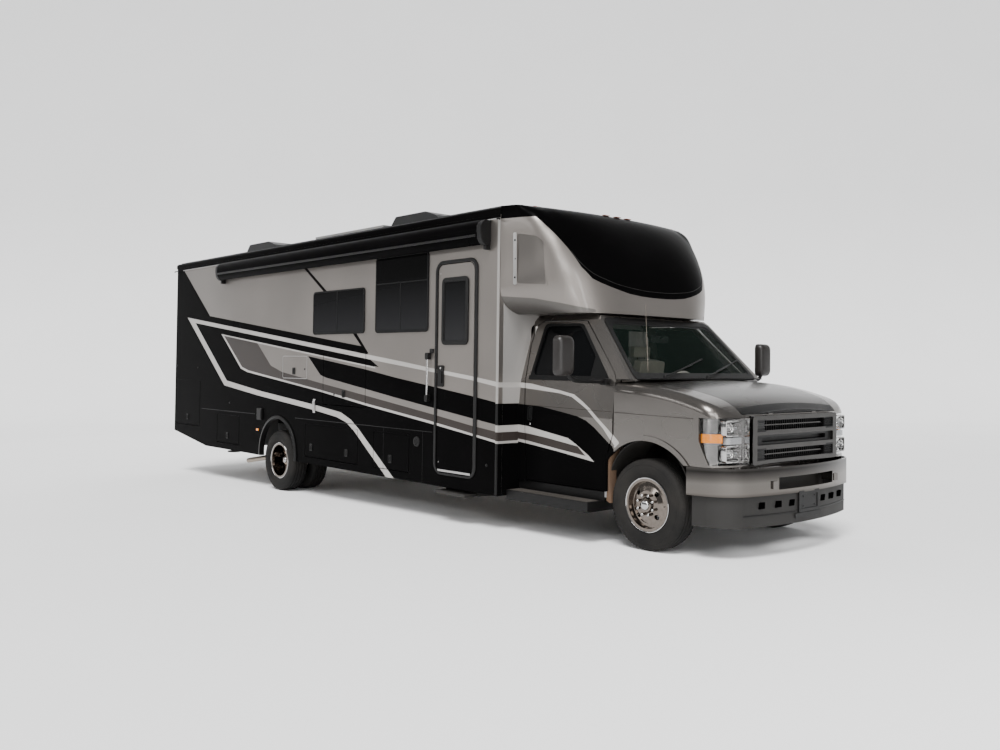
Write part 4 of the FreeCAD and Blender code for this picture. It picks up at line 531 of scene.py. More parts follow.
CAB_FIELDS = [
    (BLACK, [(-1.60, 1.130), (-1.386, 1.127), (-1.21, 1.118), (-0.963, 1.084), (-0.756, 1.053),
             (-0.655, 1.022), (-0.555, 0.965), (-0.334, 0.802), (-0.30, 0.30), (-1.60, 0.30)]),
    (PALE, [(-1.60, 0.945), (-1.383, 0.932), (-1.175, 0.900), (-0.87, 0.856), (-0.774, 0.810),
            (-0.622, 0.722), (-0.558, 0.673), (-0.987, 0.729), (-1.38, 0.771), (-1.60, 0.790)]),
    (TAUPE_AND_CREASE_SHADE, [(-1.60, 0.875), (-1.381, 0.865), (-1.143, 0.842), (-0.752, 0.792), (-0.657, 0.716),
             (-0.988, 0.751), (-1.38, 0.798), (-1.60, 0.815)]),
    (PALE, [(-1.60, 1.335), (-1.366, 1.323), (-1.245, 1.304), (-0.997, 1.273), (-0.817, 1.241),
            (-0.715, 1.187), (-0.614, 1.123), (-0.418, 0.974), (-0.275, 0.852), (-0.321, 0.813),
            (-0.459, 0.966), (-0.656, 1.121), (-0.758, 1.175), (-0.846, 1.219), (-0.996, 1.246),
            (-1.245, 1.266), (-1.60, 1.29)]),
]

FACE_FIELDS = [
    (BLACK, [(-2.0, 0.1), (2.0, 0.1), (2.0, 1.137), (-2.0, 1.137)]),
    (PALE, [(-2.0, 0.770), (2.0, 0.770), (2.0, 0.937), (-2.0, 0.937)]),
    (TAUPE_AND_CREASE_SHADE, [(-2.0, 0.793), (2.0, 0.793), (2.0, 0.875), (-2.0, 0.875)]),
    (PALE, [(-2.0, 1.286), (2.0, 1.286), (2.0, 1.332), (-2.0, 1.332)]),
]

CAP_PANEL = [(-1.345, 2.235), (-1.055, 2.215), (-1.090, 2.600), (-1.150, 2.655), (-1.345, 2.690)]
CAP_FOOT = [(-1.60, 2.128), (-1.465, 2.120), (-1.20, 2.098), (-0.95, 2.050), (-0.72, 1.990), (-0.50, 1.960)]

WALL_END_FIELDS = [(SILVER, [(-2.0, 0.1), (2.0, 0.1), (2.0, 2.90), (-2.0, 2.90)])] + FACE_FIELDS

CAP_EDGE = [(1.128, 2.835), (1.052, 2.710), (0.970, 2.546), (0.897, 2.374), (0.811, 2.270), (0.730, 2.236),
            (0.640, 2.208), (0.52, 2.178), (0.408, 2.155), (0.25, 2.140), (0.10, 2.134)]
CAP_FIELDS = [
    (BLACK, [(1.4, 2.84)] + CAP_EDGE + [(-y, z) for y, z in reversed(CAP_EDGE)]
     + [(-1.4, 2.84), (-1.4, 3.2), (1.4, 3.2)]),
]

# The two coordinates that a field's points give, by the axis along which it is seen
SEEN = {"X": (1, 2), "Y": (0, 2)}


# Painted panels: a copy of the CAD skin, cut along the edges of the colour fields

def inside(a, b, polygon):
    """Whether a point lies in a closed path."""
    result = False
    for (a0, b0), (a1, b1) in zip(polygon, polygon[1:] + polygon[:1]):
        if (b0 > b) != (b1 > b) and a < (a1 - a0) * (b - b0) / (b1 - b0) + a0:
            result = not result
    return result


def reaches(face, start, end, seen):
    """Whether a face and an edge of a field overlap in both coordinates."""
    for place, ends in zip(seen, zip(start, end)):
        across = [vert.co[place] for vert in face.verts]
        if max(across) < min(ends) or min(across) > max(ends):
            return False
    return True


def cut_along(bm, start, end, seen, keep_face):
    """Cut the chosen faces along one edge of a field."""
    faces = [face for face in bm.faces if keep_face(face) and reaches(face, start, end, seen)]
    if not faces:
        return
    a, b = seen
    normal, place = Vector(), Vector()
    normal[a], normal[b] = end[1] - start[1], start[0] - end[0]
    place[a], place[b] = start
    edges = {edge for face in faces for edge in face.edges}
    verts = {vert for face in faces for vert in face.verts}
    bmesh.ops.bisect_plane(bm, geom=list(verts) + list(edges) + faces, dist=1e-6, plane_co=place,
                           plane_no=normal)


def surface_shading(made, cad):
    """Give a cut copy the shading of its CAD surface, so that the cuts leave no trace."""
    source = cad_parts[cad].data
    places = [vert.co.copy() for vert in source.vertices]
    tree = BVHTree.FromPolygons(places, [tuple(polygon.vertices) for polygon in source.polygons])
    corner_normals = source.corner_normals
    normals = []
    for polygon in made.data.polygons:
        for index in polygon.vertices:
            point = made.data.vertices[index].co.lerp(polygon.center, 0.02)
            place, _, number, _ = tree.find_nearest(point)
            loops = list(source.polygons[number].loop_indices)[:3]
            shares = poly_3d_calc([places[source.loops[loop].vertex_index] for loop in loops], place)
            parts = [corner_normals[loop].vector * share for share, loop in zip(shares, loops)]
            normals.append(sum(parts, Vector()).normalized())
    made.data.normals_split_custom_set(normals)


def painted(name, cad, body, base, layers, smooth=5.0, bevel=0.0, curved=False):
    """A copy of a CAD node cut along colour fields, from layers of (axis, fields, faces)."""
    bm = bmesh.new()
    bm.from_mesh(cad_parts[cad].data)
    bmesh.ops.remove_doubles(bm, verts=bm.verts, dist=1e-5)
    bmesh.ops.dissolve_limit(bm, angle_limit=math.radians(0.3), verts=bm.verts, edges=bm.edges)
    bm.transform(UNBODY)
    bm.normal_update()
    materials = [base]
    for axis, fields, keep_face in layers:
        for material, polygon in fields:
            for start, end in zip(polygon, polygon[1:] + polygon[:1]):
                cut_along(bm, start, end, SEEN[axis], keep_face)
            if material not in materials:
                materials.append(material)
    bm.normal_update()
    for face in bm.faces:
        face.material_index = 0
    for axis, fields, keep_face in layers:
        a, b = SEEN[axis]
        for face in filter(keep_face, bm.faces):
            centre = face.calc_center_median()
            for material, polygon in fields:
                if inside(centre[a], centre[b], polygon):
                    face.material_index = materials.index(material)
    bmesh.ops.dissolve_limit(bm, angle_limit=math.radians(0.5), use_dissolve_boundaries=False,
                             verts=bm.verts, edges=bm.edges, delimit={"MATERIAL"})
    made = finish_mesh(name, bm, materials, body, smooth=smooth, bevel=bevel)
    if curved:
        surface_shading(made, cad)
    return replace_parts(made, cad)


def middle(face):
    """The centre of a face."""
    return face.calc_center_median()


def outer_right(face):
    """Whether a face is in the outer skin on the right."""
    return face.normal.y < -0.3 and middle(face).y < -1.2


def outer_left(face):
    """Whether a face is in the outer skin on the left."""
    return face.normal.y > 0.3 and middle(face).y > 1.2


def wall_end(face):
    """Whether a face is in the front end of a side wall."""
    return face.normal.x > 0.5 and middle(face).x > -1.6


def cab_side(face):
    """Whether a face is in a side of the cab."""
    return abs(middle(face).y) > 0.75


def every(face):
    """Whether a face is chosen where no face is left out."""
    return True


for name, outer in (("right_wall", outer_right), ("left_wall", outer_left)):
    painted(name + "_skin", name, "chassis", BLACK,
            [("Y", COACH_FIELDS, outer), ("X", WALL_END_FIELDS, wall_end)])
for door in ("entry_door", "rear_locker_door", "small_locker_door", "long_skirt_door", "short_skirt_door",
             "wall_hatch", "left_locker_door"):
    painted(door + "_skin", door, door, BLACK,
            [("Y", COACH_FIELDS, outer_left if door == "left_locker_door" else outer_right)], bevel=0.0015)
for name, side in SIDES:
    painted("cab_door_skin_" + name, "cab_door_" + name, "cab_door_" + name, CAB,
            [("Y", CAB_FIELDS, cab_side)])
painted("front_wings", "front_fenders", "chassis", CAB,
        [("Y", CAB_FIELDS, lambda face: abs(middle(face).y) > 0.9 and middle(face).x < 0.0)], curved=True)
# Painted reflection: a black band along the hood's front lip, for the dark that the top of the grille
# reflects there.
painted("hood_skin", "hood", "hood", HOOD_DARK_REFLECTION,
        [("Y", [(TRIM, [(0.662, 1.0), (0.662, 1.4), (0.90, 1.4), (0.90, 1.0)])], every)], curved=True)
# The overcab's flanks take painted shade: darker below their crease and on their pressed panels.
painted("cap_skin", "front_cap", "chassis", SILVER,
        [("X", CAP_FIELDS, lambda face: face.normal.x > -0.2),
         ("Y", [(BLACK, [(-1.6, 2.866), (-1.6, 3.1), (-0.9, 3.1), (-0.9, 2.866)])], every),
         ("Y", [(SHADE, CAP_FOOT + [(-0.50, 1.8), (-1.60, 1.8)]), (SHADED_PANEL, CAP_PANEL)],
          lambda face: abs(middle(face).y) > 0.80 and middle(face).z < 2.8)],
        curved=True)
# The front face under the overcab takes the lit copy of the silver, a painted light.
painted("bulkhead_skin", "front_bulkhead", "chassis", LIT_FACE,
        [("X", FACE_FIELDS, lambda face: face.normal.x > 0.5)])
painted("cab_skin", "cab_shell", "chassis", CAB,
        [("Y", CAB_FIELDS, lambda face: cab_side(face) and middle(face).x < -0.45)])


# CAD pieces that keep their own shape

CAD_LOOKS = (
    (SHROUD, "air_conditioners"), (BUMPER, "bumpers"), (PLY, "coach_floor"), (COACH_PANE, "coach_windows"),
    (DASH, "dashboard"), (STEEL, "exhaust_pipe"), (GREY, "lower_valance"), (WHITE, "roof_vents"),
    (TRIM, "running_boards"), (ALLOY, "solar_panels"), (BIN, "storage_boxes"), (RED, "tail_lamps"),
    (TINT, "windscreen"), (BLACK, "awning coach_roof rear_wall"),
    (DARK_PANE, "cab_door_glass_left cab_door_glass_right"),
    (CAST, "engine_block knuckle_left knuckle_right rear_axle"),
    (LINER, "front_rim_left front_rim_right rear_rims_left rear_rims_right"),
    (CHASSIS, "frame_rails front_beams fuel_tank leaf_springs levelling_jacks tow_receiver"),
    (CHASSIS, "step_frame step_links step_tread"),
)
for look, names in CAD_LOOKS:
    for name in names.split():
        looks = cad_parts[name].data.materials
        looks.clear()
        looks.append(look)


# Coach sides

WALL = 1.255
ENTRY = (-2.425, 0.440, -1.883, 2.470)
ENTRY_WINDOW = (-2.350, 1.690, -1.965, 2.330)


def grown(limits, radius, grow):
    """Closed path of a rectangle with round corners, moved outwards."""
    x0, z0, x1, z1 = limits
    return round_path(x0 - grow, z0 - grow, x1 + grow, z1 + grow, max(0.004, radius + grow))


def wall_ring(bm, limits, radius, inner, outer, side, low, high):
    """A frame around an opening of a side wall, between two distances from its edge."""
    ring(bm, grown(limits, radius, outer), grown(limits, radius, inner), "Y", (WALL + low) * side,
         (WALL + high) * side)


def wall_block(bm, x0, x1, z0, z1, side, low, high, material=0):
    """A box on a side wall, between two distances from it."""
    side_block(bm, x0, x1, WALL + low, WALL + high, z0, z1, side, material)


def wall_plate(bm, x0, z0, x1, z1, radius, side, low, high, material=0):
    """A plate with round corners on a side wall, between two distances from it."""
    prism(bm, round_path(x0, z0, x1, z1, radius), "Y", (WALL + low) * side, (WALL + high) * side, material)


# Panes by their limits, the height of the bar across, the place of the upright bar, and the side
WINDOWS = (
    (-4.830, 1.819, -3.737, 2.325, None, -4.300, -1),
    (-3.523, 1.816, -2.585, 2.630, 2.340, -3.064, -1),
    (-8.350, 1.830, -7.450, 2.330, None, -7.900, 1),
    (-4.100, 1.819, -3.000, 2.325, None, -3.550, 1),
)


def window_trim(bm):
    """Seals around the panes, with their dividing bars and slider tracks."""
    for x0, z0, x1, z1, across, upright, side in WINDOWS:
        wall_ring(bm, (x0, z0, x1, z1), 0.045, -0.018, -0.0006, side, 0.008, 0.011)
        if across:
            wall_block(bm, x0 + 0.01, x1 - 0.01, across - 0.007, across + 0.007, side, 0.008, 0.0105)
        top = across or z1 - 0.018
        wall_block(bm, upright - 0.006, upright + 0.006, z0 + 0.018, top, side, 0.008, 0.0105)
        wall_block(bm, x0 + 0.03, x1 - 0.03, z0 + 0.018, z0 + 0.027, side, 0.008, 0.0115)


piece("window_trim", "chassis", [RUBBER], window_trim, bevel=0.001)


def entry_frame(bm):
    """Moulded door surround, wider on the hinge side, where it leaves the knuckles room."""
    x0, z0, x1, z1 = ENTRY
    ring(bm, round_path(x0 - 0.040, z0 - 0.030, x1 + 0.066, z1 + 0.040, 0.115, 8),
         round_path(x0 - 0.0085, z0 - 0.0085, x1 + 0.022, z1 + 0.0085, 0.0785, 8), "Y", -WALL - LIFT,
         -WALL - 0.012)


piece("entry_surround", "chassis", [TRIM], entry_frame, bevel=0.004, segments=3)


def entry_trims(bm):
    """Window seals and pane, foot strip, handle, lock and screws of the entry door."""
    wall_ring(bm, ENTRY_WINDOW, 0.045, -0.022, 0.010, -1, 0.0, 0.013)
    wall_ring(bm, ENTRY_WINDOW, 0.045, -0.034, -0.022, -1, 0.0, 0.009)
    x0, z0, x1, z1 = ENTRY_WINDOW
    wall_plate(bm, x0 + 0.02, z0 + 0.02, x1 - 0.02, z1 - 0.02, 0.03, -1, -0.010, 0.003, 1)
    x0, z0, x1, z1 = ENTRY
    wall_block(bm, x0 + 0.02, x1 - 0.02, z0 + 0.001, z0 + 0.022, -1, 0.0, 0.006, 2)
    wall_plate(bm, -2.410, 1.270, -2.322, 1.480, 0.014, -1, LIFT, 0.012)
    wall_plate(bm, -2.398, 1.300, -2.340, 1.420, 0.010, -1, 0.012, 0.022)
    dome(bm, (-2.366, -WALL - 0.012, 1.453), 0.011, 0.006, "Y", -1, 2)
    for z in (0.53, 2.385):
        dome(bm, (x0 + 0.03, -WALL, z), 0.006, 0.003, "Y", -1, 2)


piece("entry_trims", "entry_door", [TRIM, COACH_PANE, ALLOY], entry_trims, bevel=0.0015)


def grab_bar(bm):
    """Straight steel grab handle behind the door, with its two black feet."""
    x = -2.560
    tube(bm, [(x, -WALL - 0.030, z) for z in (1.165, 1.30, 1.43, 1.555)], 0.010, 14)
    for z in (1.150, 1.570):
        wall_plate(bm, x - 0.024, z - 0.034, x + 0.024, z + 0.034, 0.016, -1, LIFT, 0.044, 1)


piece("grab_bar", "chassis", [CHROME, TRIM], grab_bar, bevel=0.002)


def side_fittings(bm):
    """Small lamps, caps and outlets along the entry side."""
    for x0, z0, x1, z1, radius, low, high, material in (
            (-2.545, 1.600, -2.490, 1.645, 0.008, LIFT, 0.014, 0),
            (-4.784, 0.925, -4.748, 1.040, 0.006, 0.016, 0.026, 2),
            (-6.190, 0.745, -6.060, 0.895, 0.012, LIFT, 0.022, 0),
            (-6.180, 0.760, -6.070, 0.880, 0.008, 0.022, 0.028, 0),
            (-6.215, 0.603, -6.160, 0.630, 0.010, LIFT, 0.014, 3)):
        wall_plate(bm, x0, z0, x1, z1, radius, -1, low, high, material)
    wall_block(bm, -4.790, -4.742, 0.900, 1.062, -1, LIFT, 0.016, 1)
    lathe(bm, [(0.0, 0.052), (-0.008, 0.050), (-0.010, 0.036), (-0.004, 0.033), (-0.004, 0.0), (0.0, 0.0)],
          (-2.753, -WALL - LIFT, 0.704), 32)
    for step in range(-2, 3):
        z = 0.704 + 0.011 * step
        wall_block(bm, -2.780, -2.726, z - 0.002, z + 0.002, -1, 0.004, 0.009)
    for x, z in ((-8.79, 1.42), (-8.06, 1.40), (-7.02, 0.93), (-4.35, 1.13), (-1.67, 0.56)):
        dome(bm, (x, -WALL, z), 0.014, 0.006, "Y", -1)


piece("side_fittings", "chassis", [TRIM, CHROME, ALLOY, AMBER], side_fittings, bevel=0.0015)


def latch(bm, x, z, side, material=0):
    """A folding T latch in a raised oval bezel."""
    ring(bm, round_path(x - 0.030, z - 0.0425, x + 0.030, z + 0.0425, 0.014),
         round_path(x - 0.022, z - 0.0345, x + 0.022, z + 0.0345, 0.009), "Y", (WALL + LIFT) * side,
         (WALL + 0.007) * side, material)
    wall_plate(bm, x - 0.022, z - 0.0345, x + 0.022, z + 0.0345, 0.008, side, LIFT, 0.002, material)
    wall_block(bm, x - 0.005, x + 0.005, z - 0.0265, z + 0.0265, side, 0.002, 0.008, material)
    wall_block(bm, x - 0.015, x + 0.015, z + 0.0145, z + 0.0265, side, 0.002, 0.008, material)


def utility_hatch(bm):
    """Outline, latch and lock of the small service hatch above the rear wheel."""
    wall_ring(bm, (-5.550, 1.300, -4.970, 1.563), 0.020, 0.0, 0.007, -1, 0.0, 0.0022)
    latch(bm, -5.279, 1.385, -1, 1)
    dome(bm, (-5.02, -WALL, 1.41), 0.012, 0.006, "Y", -1, 1)


piece("utility_hatch", "chassis", [ALLOY, TRIM], utility_hatch)

for door, places in (
        ("rear_locker_door", ((-8.397, 0.674, -1),)), ("small_locker_door", ((-7.074, 0.483, -1),)),
        ("long_skirt_door", ((-4.840, 0.489, -1), (-4.070, 0.483, -1))),
        ("short_skirt_door", ((-3.217, 0.488, -1),)), ("wall_hatch", ((-4.147, 1.143, -1),)),
        ("left_locker_door", ((-4.45, 0.49, 1), (-3.65, 0.49, 1)))):
    piece(door + "_latches", door, [TRIM],
          lambda bm: [latch(bm, x, z, side) for x, z, side in places], bevel=0.001)


# The stripes of the front face carried over its corner mouldings, as (low, high, material). Their silver
# parts take the lit copy of the silver, a painted light.
CORNER_BANDS = ((0.296, 0.770, 1), (0.770, 0.793, 2), (0.793, 0.875, 3), (0.875, 0.937, 2),
                (0.937, 1.137, 1), (1.137, 1.286, 4), (1.286, 1.332, 2), (1.332, 2.838, 4))


def edge_trims(bm):
    """Gutters, corner mouldings and the raised line above the skirt."""
    for side in SIGNS:
        wall_block(bm, -8.640, -1.530, 2.838, 2.846, side, LIFT, 0.010)
        for low, high, material in CORNER_BANDS:
            wall_block(bm, -1.549, -1.517, low, high, side, LIFT, 0.004, material)
            wall_block(bm, -1.538, -1.528, low, high, side, 0.004, 0.007, material)
        for x0, x1 in ((-7.92, -6.27), (-5.23, -2.50)):
            wall_block(bm, x0, x1, 0.812, 0.818, side, LIFT, 0.0022, 1)
        for x in (-3.345, -2.655):
            wall_block(bm, x - 0.0015, x + 0.0015, 0.292, 0.812, side, 0.0, 0.0012, 1)


piece("edge_trims", "chassis", [ALLOY, TRIM, PALE, TAUPE_AND_CREASE_SHADE, LIT_FACE], edge_trims, bevel=0.001)


def spouts(bm):
    """Rubber gutter spouts at the roof corners."""
    for side in SIGNS:
        for x, bend, tip in ((-8.86, -0.01, -0.015), (-1.56, 0.05, 0.08)):
            tube(bm, smooth_path([(x, (WALL + 0.004) * side, 2.843), (x + bend, (WALL + 0.03) * side, 2.838),
                                  (x + tip, (WALL + 0.045) * side, 2.825)], 4), 0.008, 10)


piece("gutter_spouts", "chassis", [RUBBER], spouts)


def arch_points(centre, half, low, top, steps=28):
    """Points over a wheel opening, a circle through its two feet and its top."""
    rise = top - low
    radius = (half * half + rise * rise) / (2 * rise)
    level = top - radius
    start = math.atan2(low - level, half)
    turns = [start + (math.pi - 2 * start) * step / steps for step in range(steps + 1)]
    return [(centre + radius * math.cos(turn), level + radius * math.sin(turn)) for turn in turns]


def rear_arch_edge(reach):
    """The rear wheel opening's edge, moved outwards, with its two straight feet."""
    x, half = -5.6562, 0.445 + reach
    return [(x + half, 0.296)] + arch_points(x, half, 0.352, 0.789 + reach) + [(x - half, 0.296)]


def rear_arch_lips(bm):
    """Rolled lips around the rear wheel openings."""
    for side in SIGNS:
        bar(bm, [[bm.verts.new((x, (WALL + depth) * side, z)) for x, z in rear_arch_edge(reach)]
                 for reach, depth in ((0.034, 0.0003), (0.034, 0.014), (-0.004, 0.022), (-0.004, -0.045))])


piece("rear_arch_lips", "chassis", [TRIM], rear_arch_lips, bevel=0.003)


def awning_ends(bm):
    """Moulded end caps, arms folded against the case and the lead bar of the rolled awning."""
    section = [(-WALL - out, z) for out, z in (
        (0.003, 2.640), (0.003, 2.836), (0.075, 2.834), (0.112, 2.812), (0.133, 2.778), (0.136, 2.725),
        (0.128, 2.660), (0.106, 2.622), (0.075, 2.600), (0.040, 2.606))]
    for x0, x1 in ((-7.262, -7.2), (-1.70, -1.640)):
        prism(bm, section, "X", x0, x1)
    for x in (-1.690, -7.250):
        wall_block(bm, x, x + 0.040, 2.560, 2.640, -1, 0.001, 0.060)
    tube(bm, [(x, -WALL - 0.1335, 2.688) for x in (-7.19, -1.71)], 0.012)


piece("awning_ends", "chassis", [TRIM], awning_ends, bevel=0.006, segments=3)


# Rear wall, left side and roof

REAR = -8.900
ROOF_Z = 2.955
CELL_Z = ROOF_Z + 0.1253


def rear_fittings(bm):
    """Marker lamps, reversing lamps and the mouldings of the rear wall."""
    for y in (-0.115, 0.0, 0.115, -1.12, 1.12):
        prism(bm, round_path(y - 0.050, 2.868, y + 0.050, 2.900, 0.012), "X", REAR - 0.014, REAR - LIFT)
    for side in SIGNS:
        for low, high, material in ((0.625, 0.735, 0), (0.740, 0.795, 2), (0.800, 0.885, 0)):
            prism(bm, round_path(1.022 * side, low, 1.178 * side, high, 0.012), "X", REAR - 0.040,
                  REAR - 0.0355, material)
    for z in (1.02, 2.842):
        block(bm, REAR - 0.004, REAR - LIFT, -1.205, 1.205, z - 0.004, z + 0.004, 1)
    dome(bm, (REAR - LIFT, 0.0, 2.78), 0.030, 0.040, "X", -1, 1)


piece("rear_fittings", "chassis", [RED, TRIM, WHITE], rear_fittings, bevel=0.002)


def left_service(bm):
    """Service hatches and vents of the side away from the entry."""
    for x0, z0, x1, z1 in ((-6.75, 0.93, -6.42, 1.20), (-5.10, 0.95, -4.82, 1.18),
                           (-2.95, 1.02, -2.55, 1.52)):
        wall_ring(bm, (x0, z0, x1, z1), 0.02, 0.0, 0.012, 1, LIFT, 0.008)
        wall_plate(bm, x0 + 0.003, z0 + 0.003, x1 - 0.003, z1 - 0.003, 0.018, 1, LIFT, 0.004)
        dome(bm, ((x0 + x1) / 2, WALL + 0.004, z0 + 0.035), 0.012, 0.006, "Y", 1)
    for number in range(9):
        z = 1.07 + 0.045 * number
        wall_block(bm, -2.92, -2.58, z, z + 0.014, 1, 0.004, 0.012)
    wall_plate(bm, -6.215, 0.603, -6.160, 0.630, 0.010, 1, LIFT, 0.014, 1)


piece("left_service", "chassis", [TRIM, AMBER], left_service, bevel=0.0015)


def roof_fittings(bm):
    """Shroud louvres, solar cells, vent lids and the roof's edge rails."""
    for front in (-3.460, -7.330):
        for number in range(7):
            x = front - 0.50 - 0.07 * number
            block(bm, x, x + 0.030, -0.22, 0.22, ROOF_Z + 0.3352, ROOF_Z + 0.3365)
        for number in range(8):
            x = front - 0.46 - 0.07 * number
            for side in SIGNS:
                side_block(bm, x, x + 0.035, 0.3402, 0.346, ROOF_Z + 0.10, ROOF_Z + 0.22, side)
    for side in SIGNS:
        for number in range(4):
            x = -5.460 + 0.3675 * number
            for y0, y1 in ((0.415, 0.631), (0.639, 0.855)):
                side_block(bm, x, x + 0.3575, y0, y1, CELL_Z, CELL_Z + 0.0015, side, 1)
        side_block(bm, -8.85, -1.56, 1.196, 1.204, ROOF_Z + LIFT, ROOF_Z + 0.012, side)
    for x, y in ((-2.9, -0.25), (-2.9, 0.55), (-6.4, 0.0)):
        prism(bm, round_path(x + 0.02, y - 0.19, x + 0.40, y + 0.19, 0.05), "Z", ROOF_Z + 0.0953,
              ROOF_Z + 0.115, 2)


piece("roof_fittings", "chassis", [SHROUD, CELL, WHITE], roof_fittings, bevel=0.003)


# Cab

# Half widths of the cab's side by height and of the nose by station, as the CAD sections have them
CAB_HALF = ((0.430, 1.000), (1.050, 1.007), (1.360, 0.972), (1.910, 0.800))
NOSE_HALF = ((-0.430, 1.002), (0.200, 1.007), (0.450, 1.003), (0.600, 0.985), (0.680, 0.900), (0.730, 0.730))
SIDE_WINDOW = [(-0.455, 1.395), (-0.880, 1.862), (-1.345, 1.870), (-1.390, 1.392)]
DOOR_HANDLE = [(-1.385, 0.985), (-1.385, 1.115), (-1.325, 1.115), (-1.325, 0.985)]
DOOR_LOCK_Z = 0.955


def cab_door_trims(bm, side):
    """Window seal, waist moulding, vent pane, handle and lock of a cab door, and a dark line painted along
    its side crease as the crease's shade.
    """
    def place(x, z, depth):
        return x, (between(CAB_HALF, z) + depth) * side, z

    def rounded(points, grow, radius, steps=5):
        return rounded_polygon(grown_polygon(points, grow), radius, steps)

    waist = [(-1.408, 1.362), (-1.408, 1.402), (-0.440, 1.402), (-0.428, 1.362)]
    vent = [(-0.470, 1.400), (-0.640, 1.590), (-0.650, 1.400)]
    crease = [(-1.400, 1.124), (-1.400, 1.128), (-0.366, 1.111), (-0.366, 1.107)]
    lay(bm, rounded(SIDE_WINDOW, 0.014, 0.05), rounded(SIDE_WINDOW, -0.012, 0.05), place, -0.014, 0.004)
    lay(bm, rounded_polygon(waist, 0.012, 3), None, place, -0.004, 0.011)
    lay(bm, rounded_polygon(vent, 0.02, 3), None, place, -0.012, 0.003)
    lay(bm, rounded_polygon(DOOR_HANDLE, 0.016), rounded(DOOR_HANDLE, -0.010, 0.010), place, LIFT, 0.008)
    lay(bm, rounded(DOOR_HANDLE, -0.016, 0.008), None, place, LIFT, 0.005)
    dome(bm, place(-1.355, DOOR_LOCK_Z, LIFT), 0.012, 0.004, "Y", side, 1)
    lay(bm, crease, None, place, 0.0, 0.0012, 2)


for name, side in SIDES:
    piece("cab_door_trims_" + name, "cab_door_" + name, [RUBBER, CHROME, TAUPE_AND_CREASE_SHADE],
          lambda bm: cab_door_trims(bm, side), bevel=0.001)


def wing_crease_shade(bm):
    """A dark line painted along the side crease on the wings, as the crease's shade."""
    for side in SIGNS:
        prism(bm, [(-0.338, 1.106), (-0.338, 1.110), (0.464, 1.098), (0.464, 1.094)], "Y", 1.0035 * side,
              1.0105 * side)


piece("wing_crease_shade", "chassis", [TAUPE_AND_CREASE_SHADE], wing_crease_shade)


def wheel_liner(bm):
    """Black arch liners over the front wheels, with a rusty splash panel behind each."""
    outer = arch_points(0.0, 0.418, 0.50, 0.900, 24)
    inner = [(x * 0.985, 0.5 + (z - 0.5) * 0.985) for x, z in outer]
    for side in SIGNS:
        strip(bm, [[bm.verts.new((x, y * side, z)) for x, z in points]
                   for points, y in ((outer, 0.600), (outer, 0.972), (inner, 0.972), (inner, 0.600))],
              around=False, joined=True)
        prism(bm, [(-0.425, 0.360), (-0.395, 0.345), (-0.372, 0.345), (-0.392, 0.560), (-0.386, 0.700),
                   (-0.352, 0.800), (-0.366, 0.806), (-0.412, 0.715)], "Y", 0.905 * side, 0.990 * side, 1)


piece("arch_liners", "chassis", [CHASSIS, LINING], wheel_liner, smooth=50)

SCREEN_FOOT, SCREEN_HEAD = Vector((-0.190, 0, 1.372)), Vector((-0.715, 0, 1.945))
SCREEN = [(-0.870, 1.398), (0.870, 1.398), (0.745, 1.905), (-0.745, 1.905)]
SCREEN_CLEAR = [(-0.835, 1.440), (0.835, 1.440), (0.715, 1.868), (-0.715, 1.868)]


def on_screen(y, z, lift):
    """A point on the windscreen's outer face, lifted off it along its normal."""
    rise = SCREEN_HEAD - SCREEN_FOOT
    point = SCREEN_FOOT + rise * ((z - SCREEN_FOOT.z) / rise.z)
    return point + Vector((0, y, 0)) + Vector((rise.z, 0, -rise.x)).normalized() * lift


def screen_trims(bm):
    """Seal and black border of the windscreen, and its wipers."""
    for outer, inner, low, high in (
            (grown_polygon(SCREEN, 0.022), grown_polygon(SCREEN, -0.020), 0.0003, 0.005),
            (grown_polygon(SCREEN, -0.018), SCREEN_CLEAR, -0.0005, 0.0006)):
        lay(bm, rounded_polygon(outer, 0.07), rounded_polygon(inner, 0.07), on_screen, low, high)
    for root, tip in ((-0.52, 0.10), (0.10, 0.68)):
        pivot = on_screen(root, 1.392, 0.030)
        tube(bm, [pivot, pivot + Vector((0.0, 0.05, 0.012)), on_screen(tip - 0.10, 1.500, 0.022)],
             [0.010, 0.008, 0.005], 8)
        tube(bm, [on_screen(tip - 0.36, 1.448, 0.010), on_screen(tip + 0.14, 1.562, 0.010)], 0.007, 8)
        dome(bm, pivot - Vector((0, 0, 0.012)), 0.016, 0.026, "Z", 1)


piece("windscreen_trims", "chassis", [TRIM], screen_trims, smooth=50)


def cowl(bm):
    """Louvred panel between the hood and the windscreen."""
    prism(bm, [(-0.205, -0.86), (-0.205, 0.86), (-0.072, 0.80), (-0.072, -0.80)], "Z", 1.3865, 1.3925)
    for number in range(26):
        y = -0.72 + 0.0576 * number
        block(bm, -0.185, -0.095, y, y + 0.018, 1.3925, 1.3965)


piece("cowl_panel", "chassis", [TRIM], cowl, bevel=0.001)


def antenna(bm):
    """Fixed whip aerial on the right wing."""
    foot = Vector((-0.273, -0.640, 1.392))
    dome(bm, foot, 0.022, 0.022, "Z", 1)
    tube(bm, [foot + Vector(step) for step in ((0, 0, 0.015), (-0.02, 0.004, 0.30), (-0.045, 0.010, 0.640))],
         [0.0032, 0.0026, 0.0016], 8, 1)


piece("antenna", "chassis", [TRIM, STEEL], antenna)


